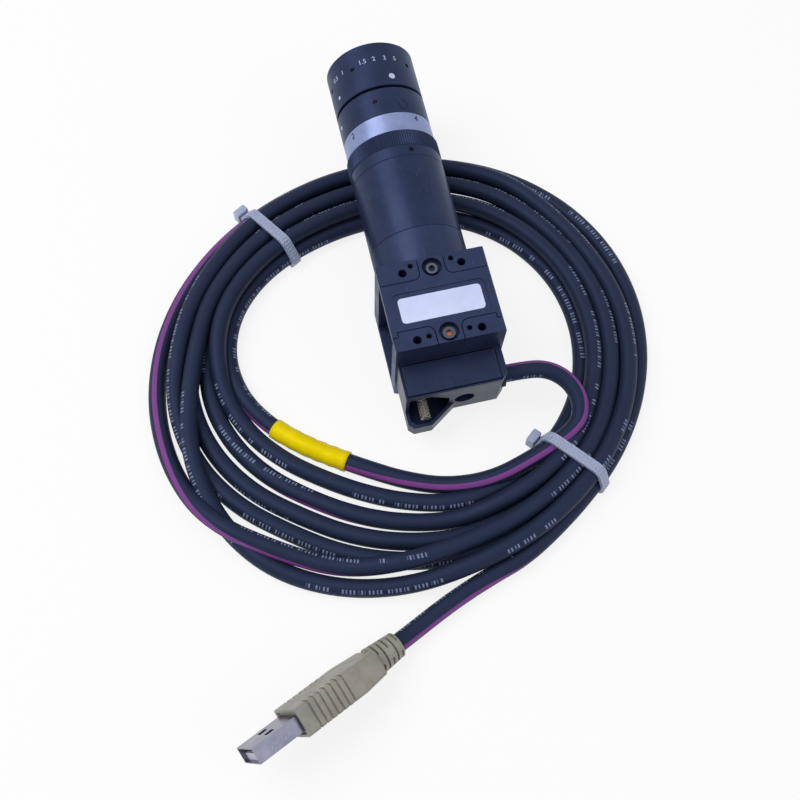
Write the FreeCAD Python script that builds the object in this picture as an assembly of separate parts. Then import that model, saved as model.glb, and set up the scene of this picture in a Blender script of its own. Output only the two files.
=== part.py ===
import FreeCAD, Part

import math
import os

from FreeCAD import Matrix, Placement, Rotation, Vector

# Machine vision camera: a small aluminium camera housing with a C-mount lens on
# an extension tube, a right-angled plug hood screwed to its back, and its own
# cable, which is coiled, tied and ends in a USB-A plug.
#
# Millimetres. The camera is modelled in its own frame first: the optical axis is
# +Y, +Z is up and Y = 0 is the housing's back face. It is then tipped nose up
# about X, because the housing stands on its lower back edge while the lens
# barrel lies on the coil. The floor is Z = 0 and the origin is the middle of
# the tipped camera's footprint. The cable is modelled in that final frame.

# ---------------------------------------------------------------- sizes: stance
TILT = 6.44                 # degrees, nose up

# ---------------------------------------------------------------- sizes: housing
HOUSING_W = 32.0            # X
HOUSING_H = 34.0            # Z
HOUSING_L = 27.0            # Y, back face to front face
FRONT_T = 5.4               # front block's thickness
REAR_T = 4.1                # rear block's thickness
SKIN_T = 3.0                # cover plates, and the pads that flank their tongues
TONGUE_W = 8.0              # tongue of a cover plate between two pads
FRONT_PAD_L = 6.3           # pads, from the face beside them
REAR_PAD_L = 5.7
PAD_STEP_W = 1.8            # outer strip of a rear pad, as long as the block is thick
PAD_CORNER_R = 2.0
GROOVE = 0.25               # joint line between a cover plate and a pad
SIDE_RECESS = 4.5           # how far the core lies inside the blocks' sides
CORE_WALL = 1.2
EDGE_CHAMFER = 0.4
FOOT_CHAMFER = 1.2          # lower corners of both blocks

# mounting holes in the pads of the top: (X, distance from the nearer face)
M3_TAP_R = 1.25
M3_TAP_DEPTH = 5.0
FRONT_M3_AT = (8.7, 3.6)
REAR_M3_AT = (9.35, 2.4)
DOWEL_R = 0.8
DOWEL_DEPTH = 4.0
FRONT_DOWEL_AT = (6.0, 1.8)
REAR_DOWEL_AT = (5.9, 2.9)
BASE_M3_X = 10.5            # the base's holes are set wider, 21 mm and 13.8 mm apart
BASE_DOWEL_X = 6.9

# cover screws, two in each cover plate
SCREW_HEAD_R = 1.9
SCREW_HEAD_H = 1.5
SCREW_R = 1.0
SCREW_L = 2.6               # below the cover plate
SCREW_SOCKET_AF = 1.5
SCREW_SOCKET_DEPTH = 0.9
COUNTERBORE_R = 2.9
COUNTERBORE_DEPTH = 2.2
SCREW_HOLE_R = 1.1
FRONT_SCREW_Y = 3.3         # behind the front face
REAR_SCREW_Y = 3.1          # ahead of the back face

# label in its shallow recess
LABEL_L = 24.3
LABEL_W = 7.8
LABEL_T = 0.12
LABEL_R = 1.2
LABEL_Y = 11.9              # middle, ahead of the back face
LABEL_RECESS_L = 27.4
LABEL_RECESS_W = 10.8
LABEL_RECESS_DEPTH = 0.25
LABEL_RECESS_R = 2.0

# ---------------------------------------------------------------- sizes: electronics
BOARD_T = 1.2
FLANGE_FOCAL = 17.526       # C-mount seat to the sensor's face
SENSOR_W = 14.2
SENSOR_T = 1.9
SENSOR_GLASS_W = 11.0
SENSOR_GLASS_T = 0.5
MAIN_BOARD_Y = 9.0          # rear face of the main board
LINK_W = 14.0               # connector between the boards
LINK_H = 3.0
LINK_Z = -9.5

# ---------------------------------------------------------------- sizes: D socket and plug
CONN_X = -3.95              # middle of the connector
CONN_Z = -1.3
JACK_SPACING = 12.5
SOCKET_FLANGE_W = 18.0
SOCKET_FLANGE_H = 7.0
SOCKET_FLANGE_T = 1.2
SOCKET_BODY_W = 9.4
SOCKET_BODY_H = 5.6
SOCKET_CAVITY_W = 7.8
SOCKET_CAVITY_H = 3.4
SOCKET_CAVITY_DEPTH = 4.2
SOCKET_GAP = 0.1            # round the socket in the rear block
POST_R = 1.7                # threaded posts beside the socket
PLUG_TONGUE_GAP = 0.15
PLUG_TONGUE_L = 3.9
PLUG_BODY_T = 2.2           # body of the mating plug, let into the hood

# ---------------------------------------------------------------- sizes: plug hood
HOOD_LEFT = -15.4
HOOD_RIGHT = 15.0
HOOD_DEPTH = 11.0           # behind the housing
HOOD_TOP = 7.2
HOOD_BOTTOM = -8.5
HOOD_CORNER = 2.2           # chamfer of the right back corner
BUMP_DEPTH = 16.4           # boss round the left jackscrew, behind the housing
BUMP_TOP = -3.5
BUMP_FLAT_RIGHT = -8.5      # where its back face turns into the slant
BUMP_SLANT_RIGHT = -0.6     # where the slant meets the hood's back face
BUMP_CORNER = 1.5
POCKET_WALL = 1.0
POCKET_FLOOR_Z = -6.8
POCKET_TOP_Z = 5.4
POCKET_RIGHT_Z = 0.2        # height of the pocket's right side in the back face
POCKET_TOP_RIGHT = -8.0     # where the pocket's roof starts to slope down
POCKET_FRONT_Y = -2.5       # the wall that the jackscrews pass through
RIGHT_BORE_R = 3.0
LID_T = 1.3
LID_PROUD = 0.5
LID_GAP = 0.3
LID_RIM = 0.8               # hood's rim left and behind the lid
LID_RIGHT_RIM = 2.1
GLAND_Y = -6.5
GLAND_Z = -0.5
GLAND_R = 3.8
GLAND_L = 3.5

# jackscrews
JACK_HEAD_R = 1.5
JACK_HEAD_L = 6.6
JACK_SHANK_R = 1.0
JACK_FIT = 0.05
JACK_OUT = 5.7              # how far the left one is backed out
JACK_SLOT_W = 0.6
JACK_SLOT_DEPTH = 0.9
JACK_KNURLS = 24
JACK_KNURL_DEPTH = 0.12

# ---------------------------------------------------------------- sizes: tubes and lens
TUBE_R = 14.45              # outside of mount ring, extension tube and lens collar
MOUNT_L = 11.6              # mount ring, ahead of the housing
SPIGOT_R = 10.8
SPIGOT_L = 4.2
SPIGOT_BORE_R = 9.2
THREAD_R = 12.7             # 1 inch C-mount thread
THREAD_L = 4.0
LIGHT_R = 10.6              # clear bore behind the threads
FILTER_R = 9.6
FILTER_T = 1.0
TUBE_L = 24.4               # extension tube's visible length
COLLAR_L = 3.6
BARREL_R = 12.3             # main tube of the lens
BARREL_BORE_R = 10.9
REAR_BORE_R = 8.2
REAR_BORE_L = 7.4           # narrow bore, ahead of the lens seat
RING_R = 14.15              # outside of the lens rings
KNURL_R = 14.7
KNURL_L = 5.4
KNURLS = 120
KNURL_DEPTH = 0.28
SCALE_L = 6.4
SLEEVE_L = 9.4
FOCUS_L = 16.3
FOCUS_GAP = 0.95            # open gap behind the focus ring
SIDE_GAP = 0.1              # between rings that turn on each other
RUN_FIT = 0.06              # radial clearance of a running fit

# optics cell, which the focus ring carries in and out
CELL_R = BARREL_BORE_R - RUN_FIT
CELL_L = 17.2
CELL_BORE_R = 8.6
CELL_SEAT_R = 9.7
CELL_SEAT_L = 7.6           # depth of the seat for the front element
CELL_FLANGE_R = 12.3
CELL_FLANGE_T = 2.9
CELL_RECESS = 3.3           # cell's front face, behind the ring's front edge
RIB_T = 1.0                 # focus ring's rib behind the cell's flange
RIB_R = 11.4
FILTER_THREAD_R = 12.75
FOCUS_BORE_R = 12.65
RETAINER_R = 12.5
RETAINER_T = 0.9
RETAINER_BORE_R = 11.7
FRONT_GLASS_EDGE = 3.4
FRONT_GLASS_BULGE = 1.8
INNER_GLASS_T = 3.6
INNER_GLASS_BULGE = 0.5
GLASS_RING_T = 1.5
GLASS_RING_BORE_R = 8.9
REAR_GLASS_T = 4.0
REAR_GLASS_BACK = 2.0       # ahead of the thread's end
GUIDE_PIN_R = 0.7
GUIDE_PIN_BACK = 1.6        # pin's middle, ahead of the cell's rear end
GUIDE_TRAVEL_IN = 0.6
GUIDE_TRAVEL_OUT = 2.0

# grub screws: angle from the top, clockwise as seen from behind
GRUB_R = 0.75
GRUB_L = 1.1
GRUB_SUNK = 0.25
FOCUS_GRUB_ANGLES = (-78.0, -30.0, 48.0)
FOCUS_GRUB_BACK = 7.6       # behind the front edge
SLEEVE_GRUB_ANGLE = -12.5
SLEEVE_GRUB_Y = 5.0         # ahead of the sleeve's rear edge
COLLAR_GRUB_ANGLE = 16.0

# iris
IRIS_BLADES = 6
IRIS_BASE_Y = 3.6           # iris base, ahead of the barrel's inner step
IRIS_BASE_T = 0.8
IRIS_OPEN_R = 6.6
BLADE_T = 0.12
BLADE_PITCH = 0.22          # one blade's level to the next
BLADE_IN_R = 6.7
BLADE_OUT_R = 8.8
BLADE_SPAN = 100.0          # degrees
PIVOT_CIRCLE_R = 9.75
PIVOT_TO_DRIVE = 22.0       # degrees round the axis, when open
BLADE_EYE_R = 0.75
PIVOT_R = 0.4
BLADE_REST = 12.0           # degrees closed, as it stands
BLADE_CLOSE = 34.0          # degrees closed, fully stopped down
BLADE_RATIO = 0.6           # blade's turn for one degree of the ring
CAM_T = 0.8
CAM_GAP = 0.12
CAM_SLOT_FIT = 0.12
DRIVE_PIN_R = 0.5
DRIVE_PIN_ANGLE = -100.0

# ---------------------------------------------------------------- sizes: cable
CABLE_D = 5.3
COIL_AT = (-10.0, -31.2)
# hand-wound outline: mean radius, then (cosine, sine) shares of one, two and three waves a turn
COIL_OUT = (76.35, ((-1.3, -1.3), (1.75, 3.15)))
COIL_IN = (48.0, ((3.1, 3.6), (3.0, -3.1), (-1.7, 1.05)))
COIL_PINS = 24              # points that its smooth outline runs through
COIL_H = 9.6
COIL_OUT_FILLET = 3.2
COIL_IN_FILLET = 4.6
SLEEVE_WALL = 0.5
SLEEVE_ARC = (-160.0, -128.0)
SLEEVE_GAP = 0.05           # between the sleeve and the floor
TIE_W = 3.6
TIE_T = 1.1
TIE_ANGLES = (122.5, -50.5)
TIE_HEAD = (5.6, 5.0, 4.2)
TIE_HEAD_Z = 5.0
TIE_HOOK = 1.2              # how far the head stands out from the band

# points of the cable's two loose stretches, chosen by hand
LEAD_POINTS = (
    (28.6, -52.4, 14.7),
    (34.4, -57.2, 12.9),
    (36.2, -64.4, 11.0),
    (32.6, -71.6, 9.2),
    (25.6, -77.2, 7.6),
    (17.0, -81.2, 6.6),
)
LEAD_FIRST_RUN = 5.6        # straight out of the gland
TAIL_POINTS = (
    (9.5, -102.8, 3.2),
    (-3.6, -106.6, 2.9),
    (-15.2, -110.8, 2.8),
)
TAIL_LAST_RUNS = 3.6

# ---------------------------------------------------------------- sizes: USB-A plug
PLUG_AT = (-33.2, -119.4)   # where the cable enters the strain relief
PLUG_HEADING = -153.3       # degrees in the floor's plane
PLUG_PITCH = 15.0
PLUG_ROLL = 23.0
MOULD_W = 8.0
MOULD_H = 16.0
MOULD_L = 27.0
MOULD_TAPER_L = 8.0
MOULD_REAR_W = 7.2
MOULD_REAR_H = 12.6
MOULD_R = 1.0
RELIEF_L = 9.0
RELIEF_REAR_R = 3.7
RELIEF_FRONT_R = 4.4
RELIEF_SLOTS = 5
RELIEF_SLOT_W = 0.6
RELIEF_SLOT_DEPTH = 1.0
GRIP_GROOVES = 7
GRIP_GROOVE_W = 0.6
GRIP_GROOVE_DEPTH = 0.5
GRIP_PITCH = 1.85
GRIP_START = 3.6
GRIP_WRAP = 3.2
SHELL_W = 12.0
SHELL_T = 4.5
SHELL_L = 13.6              # ahead of the overmould
SHELL_ROOT = 3.0            # inside the overmould
SHELL_WALL = 0.3
SHELL_HOLE = 2.4
SHELL_HOLE_AT = 5.6         # from the mouth
SHELL_HOLE_SPACING = 5.2
MOUTH_RECESS = 0.6
MOUTH_RIM = 1.0
TONGUE_T = 1.9
TONGUE_BACK = 1.2           # behind the mouth
CONTACTS = 4
CONTACT_W = 1.0
CONTACT_T = 0.15
CONTACT_TIP = 0.8           # from the tongue's end
CONTACT_PITCH = 2.4

# ---------------------------------------------------------------- worked-out places
HALF_W = HOUSING_W / 2
HALF_H = HOUSING_H / 2
FRONT_Y = HOUSING_L
FRONT_BACK_Y = HOUSING_L - FRONT_T
CORE_HALF_W = HALF_W - SIDE_RECESS
CORE_HALF_H = HALF_H - SKIN_T
MOUNT_SEAT_Y = FRONT_Y + MOUNT_L
SENSOR_Y = MOUNT_SEAT_Y - FLANGE_FOCAL
SENSOR_BOARD_Y = SENSOR_Y - SENSOR_T - BOARD_T
LENS_SEAT_Y = MOUNT_SEAT_Y + TUBE_L
KNURL_Y = LENS_SEAT_Y + COLLAR_L + SIDE_GAP
SCALE_Y = KNURL_Y + KNURL_L
SLEEVE_Y = SCALE_Y + SCALE_L + SIDE_GAP
FOCUS_Y = SLEEVE_Y + SLEEVE_L + FOCUS_GAP
LENS_FRONT_Y = FOCUS_Y + FOCUS_L
CELL_FRONT_Y = LENS_FRONT_Y - CELL_RECESS
FLANGE_Y = CELL_FRONT_Y - CELL_FLANGE_T
CELL_Y = CELL_FRONT_Y - CELL_L
RIB_Y = FLANGE_Y - SIDE_GAP - RIB_T
BARREL_FRONT_Y = RIB_Y - GUIDE_TRAVEL_IN - 0.4
STEP_Y = LENS_SEAT_Y + REAR_BORE_L
IRIS_Y = STEP_Y + IRIS_BASE_Y
BLADES_Y = IRIS_Y + IRIS_BASE_T + CAM_GAP
CAM_Y = BLADES_Y + (IRIS_BLADES - 1) * BLADE_PITCH + BLADE_T + CAM_GAP
SOCKET_Y = 0.0
JACK_SHANK_L = REAR_T - POCKET_FRONT_Y
JACK_X = (CONN_X - JACK_SPACING / 2, CONN_X + JACK_SPACING / 2)
CABLE_R = CABLE_D / 2

_SIN, _COS = math.sin(math.radians(TILT)), math.cos(math.radians(TILT))
_REACH_FRONT = LENS_FRONT_Y * _COS + RING_R * _SIN
_REACH_BACK = -BUMP_DEPTH * _COS - BUMP_TOP * _SIN
STANCE = Placement(
    Vector(0, -(_REACH_FRONT + _REACH_BACK) / 2, HALF_H * _COS),
    Rotation(Vector(1, 0, 0), TILT),
)


# ---------------------------------------------------------------- helpers
def block(x0, x1, y0, y1, z0, z1):
    """A box from its lowest to its highest corner."""
    return Part.makeBox(x1 - x0, y1 - y0, z1 - z0, Vector(x0, y0, z0))


def turned(points):
    """A solid turned about the optical axis from (radius, y) points."""
    wire = Part.makePolygon([Vector(r, y, 0) for r, y in points + points[:1]])
    return Part.Face(wire).revolve(Vector(0, 0, 0), Vector(0, 1, 0), 360)


def tube(r_in, r_out, y0, y1, bevel=0.0):
    """A ring about the optical axis, its outer edges bevelled."""
    return turned([(r_in, y0), (r_out - bevel, y0), (r_out, y0 + bevel),
                   (r_out, y1 - bevel), (r_out - bevel, y1), (r_in, y1)])


def rod(radius, start, direction, length):
    """A cylinder from a start point along a direction."""
    return Part.makeCylinder(radius, length, Vector(*start), Vector(*direction))


def face_of(edges):
    """A plane face inside a closed loop of edges."""
    return Part.Face(Part.Wire(edges))


def polygon(points, z=0.0):
    """A plane face in XY from (x, y) corners."""
    return Part.Face(Part.makePolygon([Vector(x, y, z) for x, y in points + points[:1]]))


def rounded_plate(cx, cy, length, width, z, height, radius):
    """A plate in XY with rounded corners."""
    plate = block(cx - length / 2, cx + length / 2, cy - width / 2, cy + width / 2, z, z + height)
    upright = [e for e in plate.Edges if abs(e.BoundBox.ZLength - height) < 1e-6]
    return plate.makeFillet(radius, upright)


def across(shape, y):
    """Stand a shape that was drawn in XY across the optical axis at y.

    Its angles then run from +Z towards +X, which is the positive turn about
    the optical axis.
    """
    turn = Matrix(0, 1, 0, 0,
                  0, 0, 1, y,
                  1, 0, 0, 0,
                  0, 0, 0, 1)
    return placed(shape, turn)


def placed(shape, matrix):
    """A copy of a shape moved by a rigid matrix."""
    copy = shape.copy()
    copy.Placement = Placement(matrix).multiply(copy.Placement)
    return copy


def mirrored_z(shape):
    """The same feature on the underside."""
    return shape.mirror(Vector(0, 0, 0), Vector(0, 0, 1))


def around_axis(shape, degrees):
    """A copy turned about the optical axis."""
    copy = shape.copy()
    copy.rotate(Vector(0, 0, 0), Vector(0, 1, 0), degrees)
    return copy


def radial(angle, radius, y):
    """A point at an angle from the top about the optical axis."""
    a = math.radians(angle)
    return Vector(radius * math.sin(a), y, radius * math.cos(a))


def flat_polar(radius, angle):
    """A point in the XY plane from a radius and an angle in degrees."""
    a = math.radians(angle)
    return Vector(radius * math.cos(a), radius * math.sin(a), 0)


def gear_like(count, outer, depth, length):
    """A straight knurled bar in XY with V grooves, extruded along Z."""
    points = []
    for i in range(count):
        points.append(flat_polar(outer, 360.0 * i / count))
        points.append(flat_polar(outer - depth, 360.0 * (i + 0.5) / count))
    return Part.Face(Part.makePolygon(points + points[:1])).extrude(Vector(0, 0, length))


# ---------------------------------------------------------------- housing
def block_section(y0, y1):
    """Full cross-section of the housing, chamfered at its corners."""
    c, f = EDGE_CHAMFER, FOOT_CHAMFER
    corners = [(-HALF_W + c, HALF_H), (HALF_W - c, HALF_H), (HALF_W, HALF_H - c),
               (HALF_W, -HALF_H + f), (HALF_W - f, -HALF_H), (-HALF_W + f, -HALF_H),
               (-HALF_W, -HALF_H + f), (-HALF_W, HALF_H - c)]
    wire = Part.makePolygon([Vector(x, y0, z) for x, z in corners + corners[:1]])
    return Part.Face(wire).extrude(Vector(0, y1 - y0, 0))


def pad(side, front, grow=0.0):
    """One pad beside a tongue, drawn as a solid as thick as the cover."""
    x_in = TONGUE_W / 2 - grow
    r = PAD_CORNER_R + grow
    if front:
        y_edge, y_in, sign = FRONT_Y + 1, FRONT_Y - FRONT_PAD_L - grow, -1
        step = []
        outer = HALF_W + 1
        y_outer = y_in
    else:
        y_edge, y_in, sign = -1.0, REAR_PAD_L + grow, 1
        outer = HALF_W + 1
        y_outer = REAR_T + grow
        x_step = HALF_W - PAD_STEP_W + grow
        step = [Vector(x_step, y_outer, 0), Vector(x_step, y_in, 0)]
    start, end = Vector(x_in + r, y_in, 0), Vector(x_in, y_in - sign * r, 0)
    lean = r * (1 - math.sqrt(0.5))
    middle = Vector(x_in + lean, y_in - sign * lean, 0)
    points = [end, Vector(x_in, y_edge, 0), Vector(outer, y_edge, 0),
              Vector(outer, y_outer, 0)] + step + [start]
    edges = [Part.makeLine(a, b) for a, b in zip(points, points[1:])]
    edges.append(Part.Arc(start, middle, end).toShape())
    shape = face_of(edges).extrude(Vector(0, 0, SKIN_T))
    shape.translate(Vector(0, 0, CORE_HALF_H))
    if side < 0:
        shape = shape.mirror(Vector(0, 0, 0), Vector(1, 0, 0))
    return shape


def pad_holes(front, base):
    """Tapped and dowel holes of the two pads at one end of a face, drawn in the top one."""
    m3, dowel = (FRONT_M3_AT, FRONT_DOWEL_AT) if front else (REAR_M3_AT, REAR_DOWEL_AT)
    if base:
        m3, dowel = (BASE_M3_X, m3[1]), (BASE_DOWEL_X, dowel[1])
    holes = []
    for side in (-1, 1):
        for (x, off), r, depth in ((m3, M3_TAP_R, M3_TAP_DEPTH), (dowel, DOWEL_R, DOWEL_DEPTH)):
            y = FRONT_Y - off if front else off
            holes.append(rod(r, (side * x, y, HALF_H - depth), (0, 0, 1), depth + 1))
    return holes


def end_block(front):
    """Front or rear block with its four pads and tapped holes."""
    y0, y1 = (FRONT_BACK_Y, FRONT_Y) if front else (0.0, REAR_T)
    body = block_section(y0, y1)
    hull = block_section(0.0, FRONT_Y)
    for flip in (False, True):
        notch = block(-HALF_W - 1, HALF_W + 1, y0 - 1, y1 + 1, CORE_HALF_H, HALF_H + 1)
        pads = [pad(side, front) for side in (-1, 1)]
        screw_y = FRONT_Y - FRONT_SCREW_Y if front else REAR_SCREW_Y
        holes = pad_holes(front, flip)
        holes.append(rod(SCREW_R, (0, screw_y, CORE_HALF_H - SCREW_L), (0, 0, 1), SCREW_L + 1))
        if flip:
            notch, pads, holes = mirrored_z(notch), [mirrored_z(p) for p in pads], [mirrored_z(h) for h in holes]
        body = body.cut(notch)
        body = body.fuse([p.common(hull) for p in pads])
        body = body.cut(Part.makeCompound(holes))
    return body.removeSplitter()


def front_block():
    """Front block, bored for the mount ring's spigot."""
    bore = rod(SPIGOT_R, (0, FRONT_BACK_Y - 1, 0), (0, 1, 0), FRONT_T + 2)
    return end_block(True).cut(bore)


def rear_block():
    """Rear block with the opening for the D socket and its flange."""
    g = SOCKET_GAP
    window = block(CONN_X - SOCKET_BODY_W / 2 - g, CONN_X + SOCKET_BODY_W / 2 + g, -1, REAR_T + 2,
                   CONN_Z - SOCKET_BODY_H / 2 - g, CONN_Z + SOCKET_BODY_H / 2 + g)
    seat = block(CONN_X - SOCKET_FLANGE_W / 2 - g, CONN_X + SOCKET_FLANGE_W / 2 + g, -1, SOCKET_FLANGE_T,
                 CONN_Z - SOCKET_FLANGE_H / 2 - g, CONN_Z + SOCKET_FLANGE_H / 2 + g)
    posts = [rod(POST_R + g, (x, -1, CONN_Z), (0, 1, 0), REAR_T + 2) for x in JACK_X]
    return end_block(False).cut(Part.makeCompound([window] + posts)).cut(seat)


def cover(top):
    """Cover plate with a tongue to each end, screwed down at both tongues."""
    plate = block_section(0.0, FRONT_Y).common(
        block(-HALF_W, HALF_W, 0, FRONT_Y, CORE_HALF_H, HALF_H + 1))
    if not top:
        plate = mirrored_z(block_section(0.0, FRONT_Y)).common(
            block(-HALF_W, HALF_W, 0, FRONT_Y, CORE_HALF_H, HALF_H + 1))
    cuts = [pad(side, front, GROOVE) for side in (-1, 1) for front in (True, False)]
    for y in (FRONT_Y - FRONT_SCREW_Y, REAR_SCREW_Y):
        cuts.append(rod(COUNTERBORE_R, (0, y, HALF_H - COUNTERBORE_DEPTH), (0, 0, 1), COUNTERBORE_DEPTH + 1))
        cuts.append(rod(SCREW_HOLE_R, (0, y, CORE_HALF_H - 1), (0, 0, 1), SKIN_T + 1))
    if top:
        cuts.append(rounded_plate(0, LABEL_Y, LABEL_RECESS_L, LABEL_RECESS_W,
                                  HALF_H - LABEL_RECESS_DEPTH, 1, LABEL_RECESS_R))
    for tool in cuts:
        plate = plate.cut(tool)
    return plate if top else mirrored_z(plate)


def cover_screw(y, top):
    """Cap screw with a hexagon socket, sunk in its counterbore."""
    seat = HALF_H - COUNTERBORE_DEPTH
    head = rod(SCREW_HEAD_R, (0, y, seat), (0, 0, 1), SCREW_HEAD_H)
    shank = rod(SCREW_R, (0, y, CORE_HALF_H - SCREW_L), (0, 0, 1), seat - CORE_HALF_H + SCREW_L)
    corner = SCREW_SOCKET_AF / math.sqrt(3)
    hexagon = [(corner * math.cos(math.radians(60 * i)), y + corner * math.sin(math.radians(60 * i)))
               for i in range(6)]
    socket = polygon(hexagon, seat + SCREW_HEAD_H - SCREW_SOCKET_DEPTH).extrude(Vector(0, 0, SCREW_SOCKET_DEPTH + 1))
    screw = head.fuse(shank).cut(socket).removeSplitter()
    return screw if top else mirrored_z(screw)


def core_tube():
    """Thin-walled core between the blocks, set back from their sides."""
    outer = block(-CORE_HALF_W, CORE_HALF_W, REAR_T, FRONT_BACK_Y, -CORE_HALF_H, CORE_HALF_H)
    inner = block(-CORE_HALF_W + CORE_WALL, CORE_HALF_W - CORE_WALL, REAR_T - 1, FRONT_BACK_Y + 1,
                  -CORE_HALF_H + CORE_WALL, CORE_HALF_H - CORE_WALL)
    return outer.cut(inner)


def label():
    """Blank label on the floor of its recess."""
    return rounded_plate(0, LABEL_Y, LABEL_L, LABEL_W, HALF_H - LABEL_RECESS_DEPTH, LABEL_T, LABEL_R)


# ---------------------------------------------------------------- electronics
def board(y):
    """A circuit board that fills the core."""
    return block(-CORE_HALF_W + CORE_WALL, CORE_HALF_W - CORE_WALL, y, y + BOARD_T,
                 -CORE_HALF_H + CORE_WALL, CORE_HALF_H - CORE_WALL)


def image_sensor():
    """Sensor package with its die in a shallow window."""
    half, glass = SENSOR_W / 2, SENSOR_GLASS_W / 2
    package = block(-half, half, SENSOR_Y - SENSOR_T, SENSOR_Y, -half, half)
    return package.cut(block(-glass, glass, SENSOR_Y - SENSOR_GLASS_T, SENSOR_Y + 1, -glass, glass))


def board_link():
    """Connector strip between the two boards."""
    return block(-LINK_W / 2, LINK_W / 2, MAIN_BOARD_Y + BOARD_T, SENSOR_BOARD_Y,
                 LINK_Z - LINK_H / 2, LINK_Z + LINK_H / 2)


def d_outline(width, height, y, depth):
    """A D-shaped prism at the connector, wider at its top, going forward from y."""
    w, h, lean = width / 2, height / 2, height * 0.18
    corners = [(CONN_X - w, CONN_Z + h), (CONN_X + w, CONN_Z + h),
               (CONN_X + w - lean, CONN_Z - h), (CONN_X - w + lean, CONN_Z - h)]
    wire = Part.makePolygon([Vector(x, y, z) for x, z in corners + corners[:1]])
    return Part.Face(wire).extrude(Vector(0, depth, 0))


def d_socket():
    """Miniature D socket: flange, body and the two threaded posts."""
    flange = block(CONN_X - SOCKET_FLANGE_W / 2, CONN_X + SOCKET_FLANGE_W / 2, SOCKET_Y, SOCKET_FLANGE_T,
                   CONN_Z - SOCKET_FLANGE_H / 2, CONN_Z + SOCKET_FLANGE_H / 2)
    body = block(CONN_X - SOCKET_BODY_W / 2, CONN_X + SOCKET_BODY_W / 2, SOCKET_Y, MAIN_BOARD_Y,
                 CONN_Z - SOCKET_BODY_H / 2, CONN_Z + SOCKET_BODY_H / 2)
    posts = [rod(POST_R, (x, SOCKET_Y, CONN_Z), (0, 1, 0), REAR_T) for x in JACK_X]
    holes = [rod(JACK_SHANK_R + JACK_FIT, (x, SOCKET_Y - 1, CONN_Z), (0, 1, 0), REAR_T + 2) for x in JACK_X]
    cavity = d_outline(SOCKET_CAVITY_W, SOCKET_CAVITY_H, SOCKET_Y - 1, SOCKET_CAVITY_DEPTH + 1)
    return flange.fuse([body] + posts).cut(Part.makeCompound(holes)).cut(cavity).removeSplitter()


# ---------------------------------------------------------------- plug hood
def d_plug():
    """Mating D plug, let into the front of the hood."""
    half_w, half_h = SOCKET_BODY_W / 2, SOCKET_BODY_H / 2
    body = block(CONN_X - half_w, CONN_X + half_w, -PLUG_BODY_T, 0, CONN_Z - half_h, CONN_Z + half_h)
    g = PLUG_TONGUE_GAP
    return body.fuse(d_outline(SOCKET_CAVITY_W - 2 * g, SOCKET_CAVITY_H - 2 * g, 0, PLUG_TONGUE_L))


def bump_plan(inset):
    """Plan of the boss round the left jackscrew, its walls moved in by inset."""
    slope = math.atan2(BUMP_DEPTH - HOOD_DEPTH, BUMP_SLANT_RIGHT - BUMP_FLAT_RIGHT)
    shift = inset / math.cos(slope)
    back = -BUMP_DEPTH + inset
    left = HOOD_LEFT + inset
    corner = BUMP_CORNER
    flat_right = BUMP_FLAT_RIGHT + (inset - shift) / math.tan(slope)
    slant_right = BUMP_SLANT_RIGHT - shift / math.tan(slope)
    top = POCKET_FRONT_Y if inset else -HOOD_DEPTH / 2
    points = [(left, top), (left, back + corner), (left + corner, back), (flat_right, back),
              (slant_right, -HOOD_DEPTH), (slant_right, top)]
    return points


def hood_body():
    """Outer form of the hood before any cavity."""
    c = HOOD_CORNER
    plan = [(HOOD_LEFT, 0), (HOOD_LEFT, -HOOD_DEPTH), (HOOD_RIGHT - c, -HOOD_DEPTH),
            (HOOD_RIGHT, -HOOD_DEPTH + c), (HOOD_RIGHT, 0)]
    box = polygon(plan, HOOD_BOTTOM).extrude(Vector(0, 0, HOOD_TOP - HOOD_BOTTOM))
    bump = polygon(bump_plan(0), HOOD_BOTTOM).extrude(Vector(0, 0, BUMP_TOP - HOOD_BOTTOM))
    return box.fuse(bump)


def screw_pocket():
    """Open pocket round the left jackscrew, with a sloping roof."""
    plan = polygon(bump_plan(POCKET_WALL), POCKET_FLOOR_Z).extrude(
        Vector(0, 0, POCKET_TOP_Z - POCKET_FLOOR_Z))
    left = HOOD_LEFT - 1
    section = [(left, POCKET_FLOOR_Z), (0, POCKET_FLOOR_Z), (0, POCKET_RIGHT_Z - 1),
               (BUMP_SLANT_RIGHT, POCKET_RIGHT_Z), (POCKET_TOP_RIGHT, POCKET_TOP_Z), (left, POCKET_TOP_Z)]
    wire = Part.makePolygon([Vector(x, -BUMP_DEPTH - 1, z) for x, z in section + section[:1]])
    prism = Part.Face(wire).extrude(Vector(0, BUMP_DEPTH + 1, 0))
    return plan.common(prism)


def lid_plan(gap):
    """Plan of the hood's lid or, with a gap, of its seat."""
    return (HOOD_LEFT + LID_RIM - gap, HOOD_RIGHT - LID_RIGHT_RIM + gap,
            -HOOD_DEPTH + LID_RIM - gap, -LID_RIM + gap)


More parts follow.
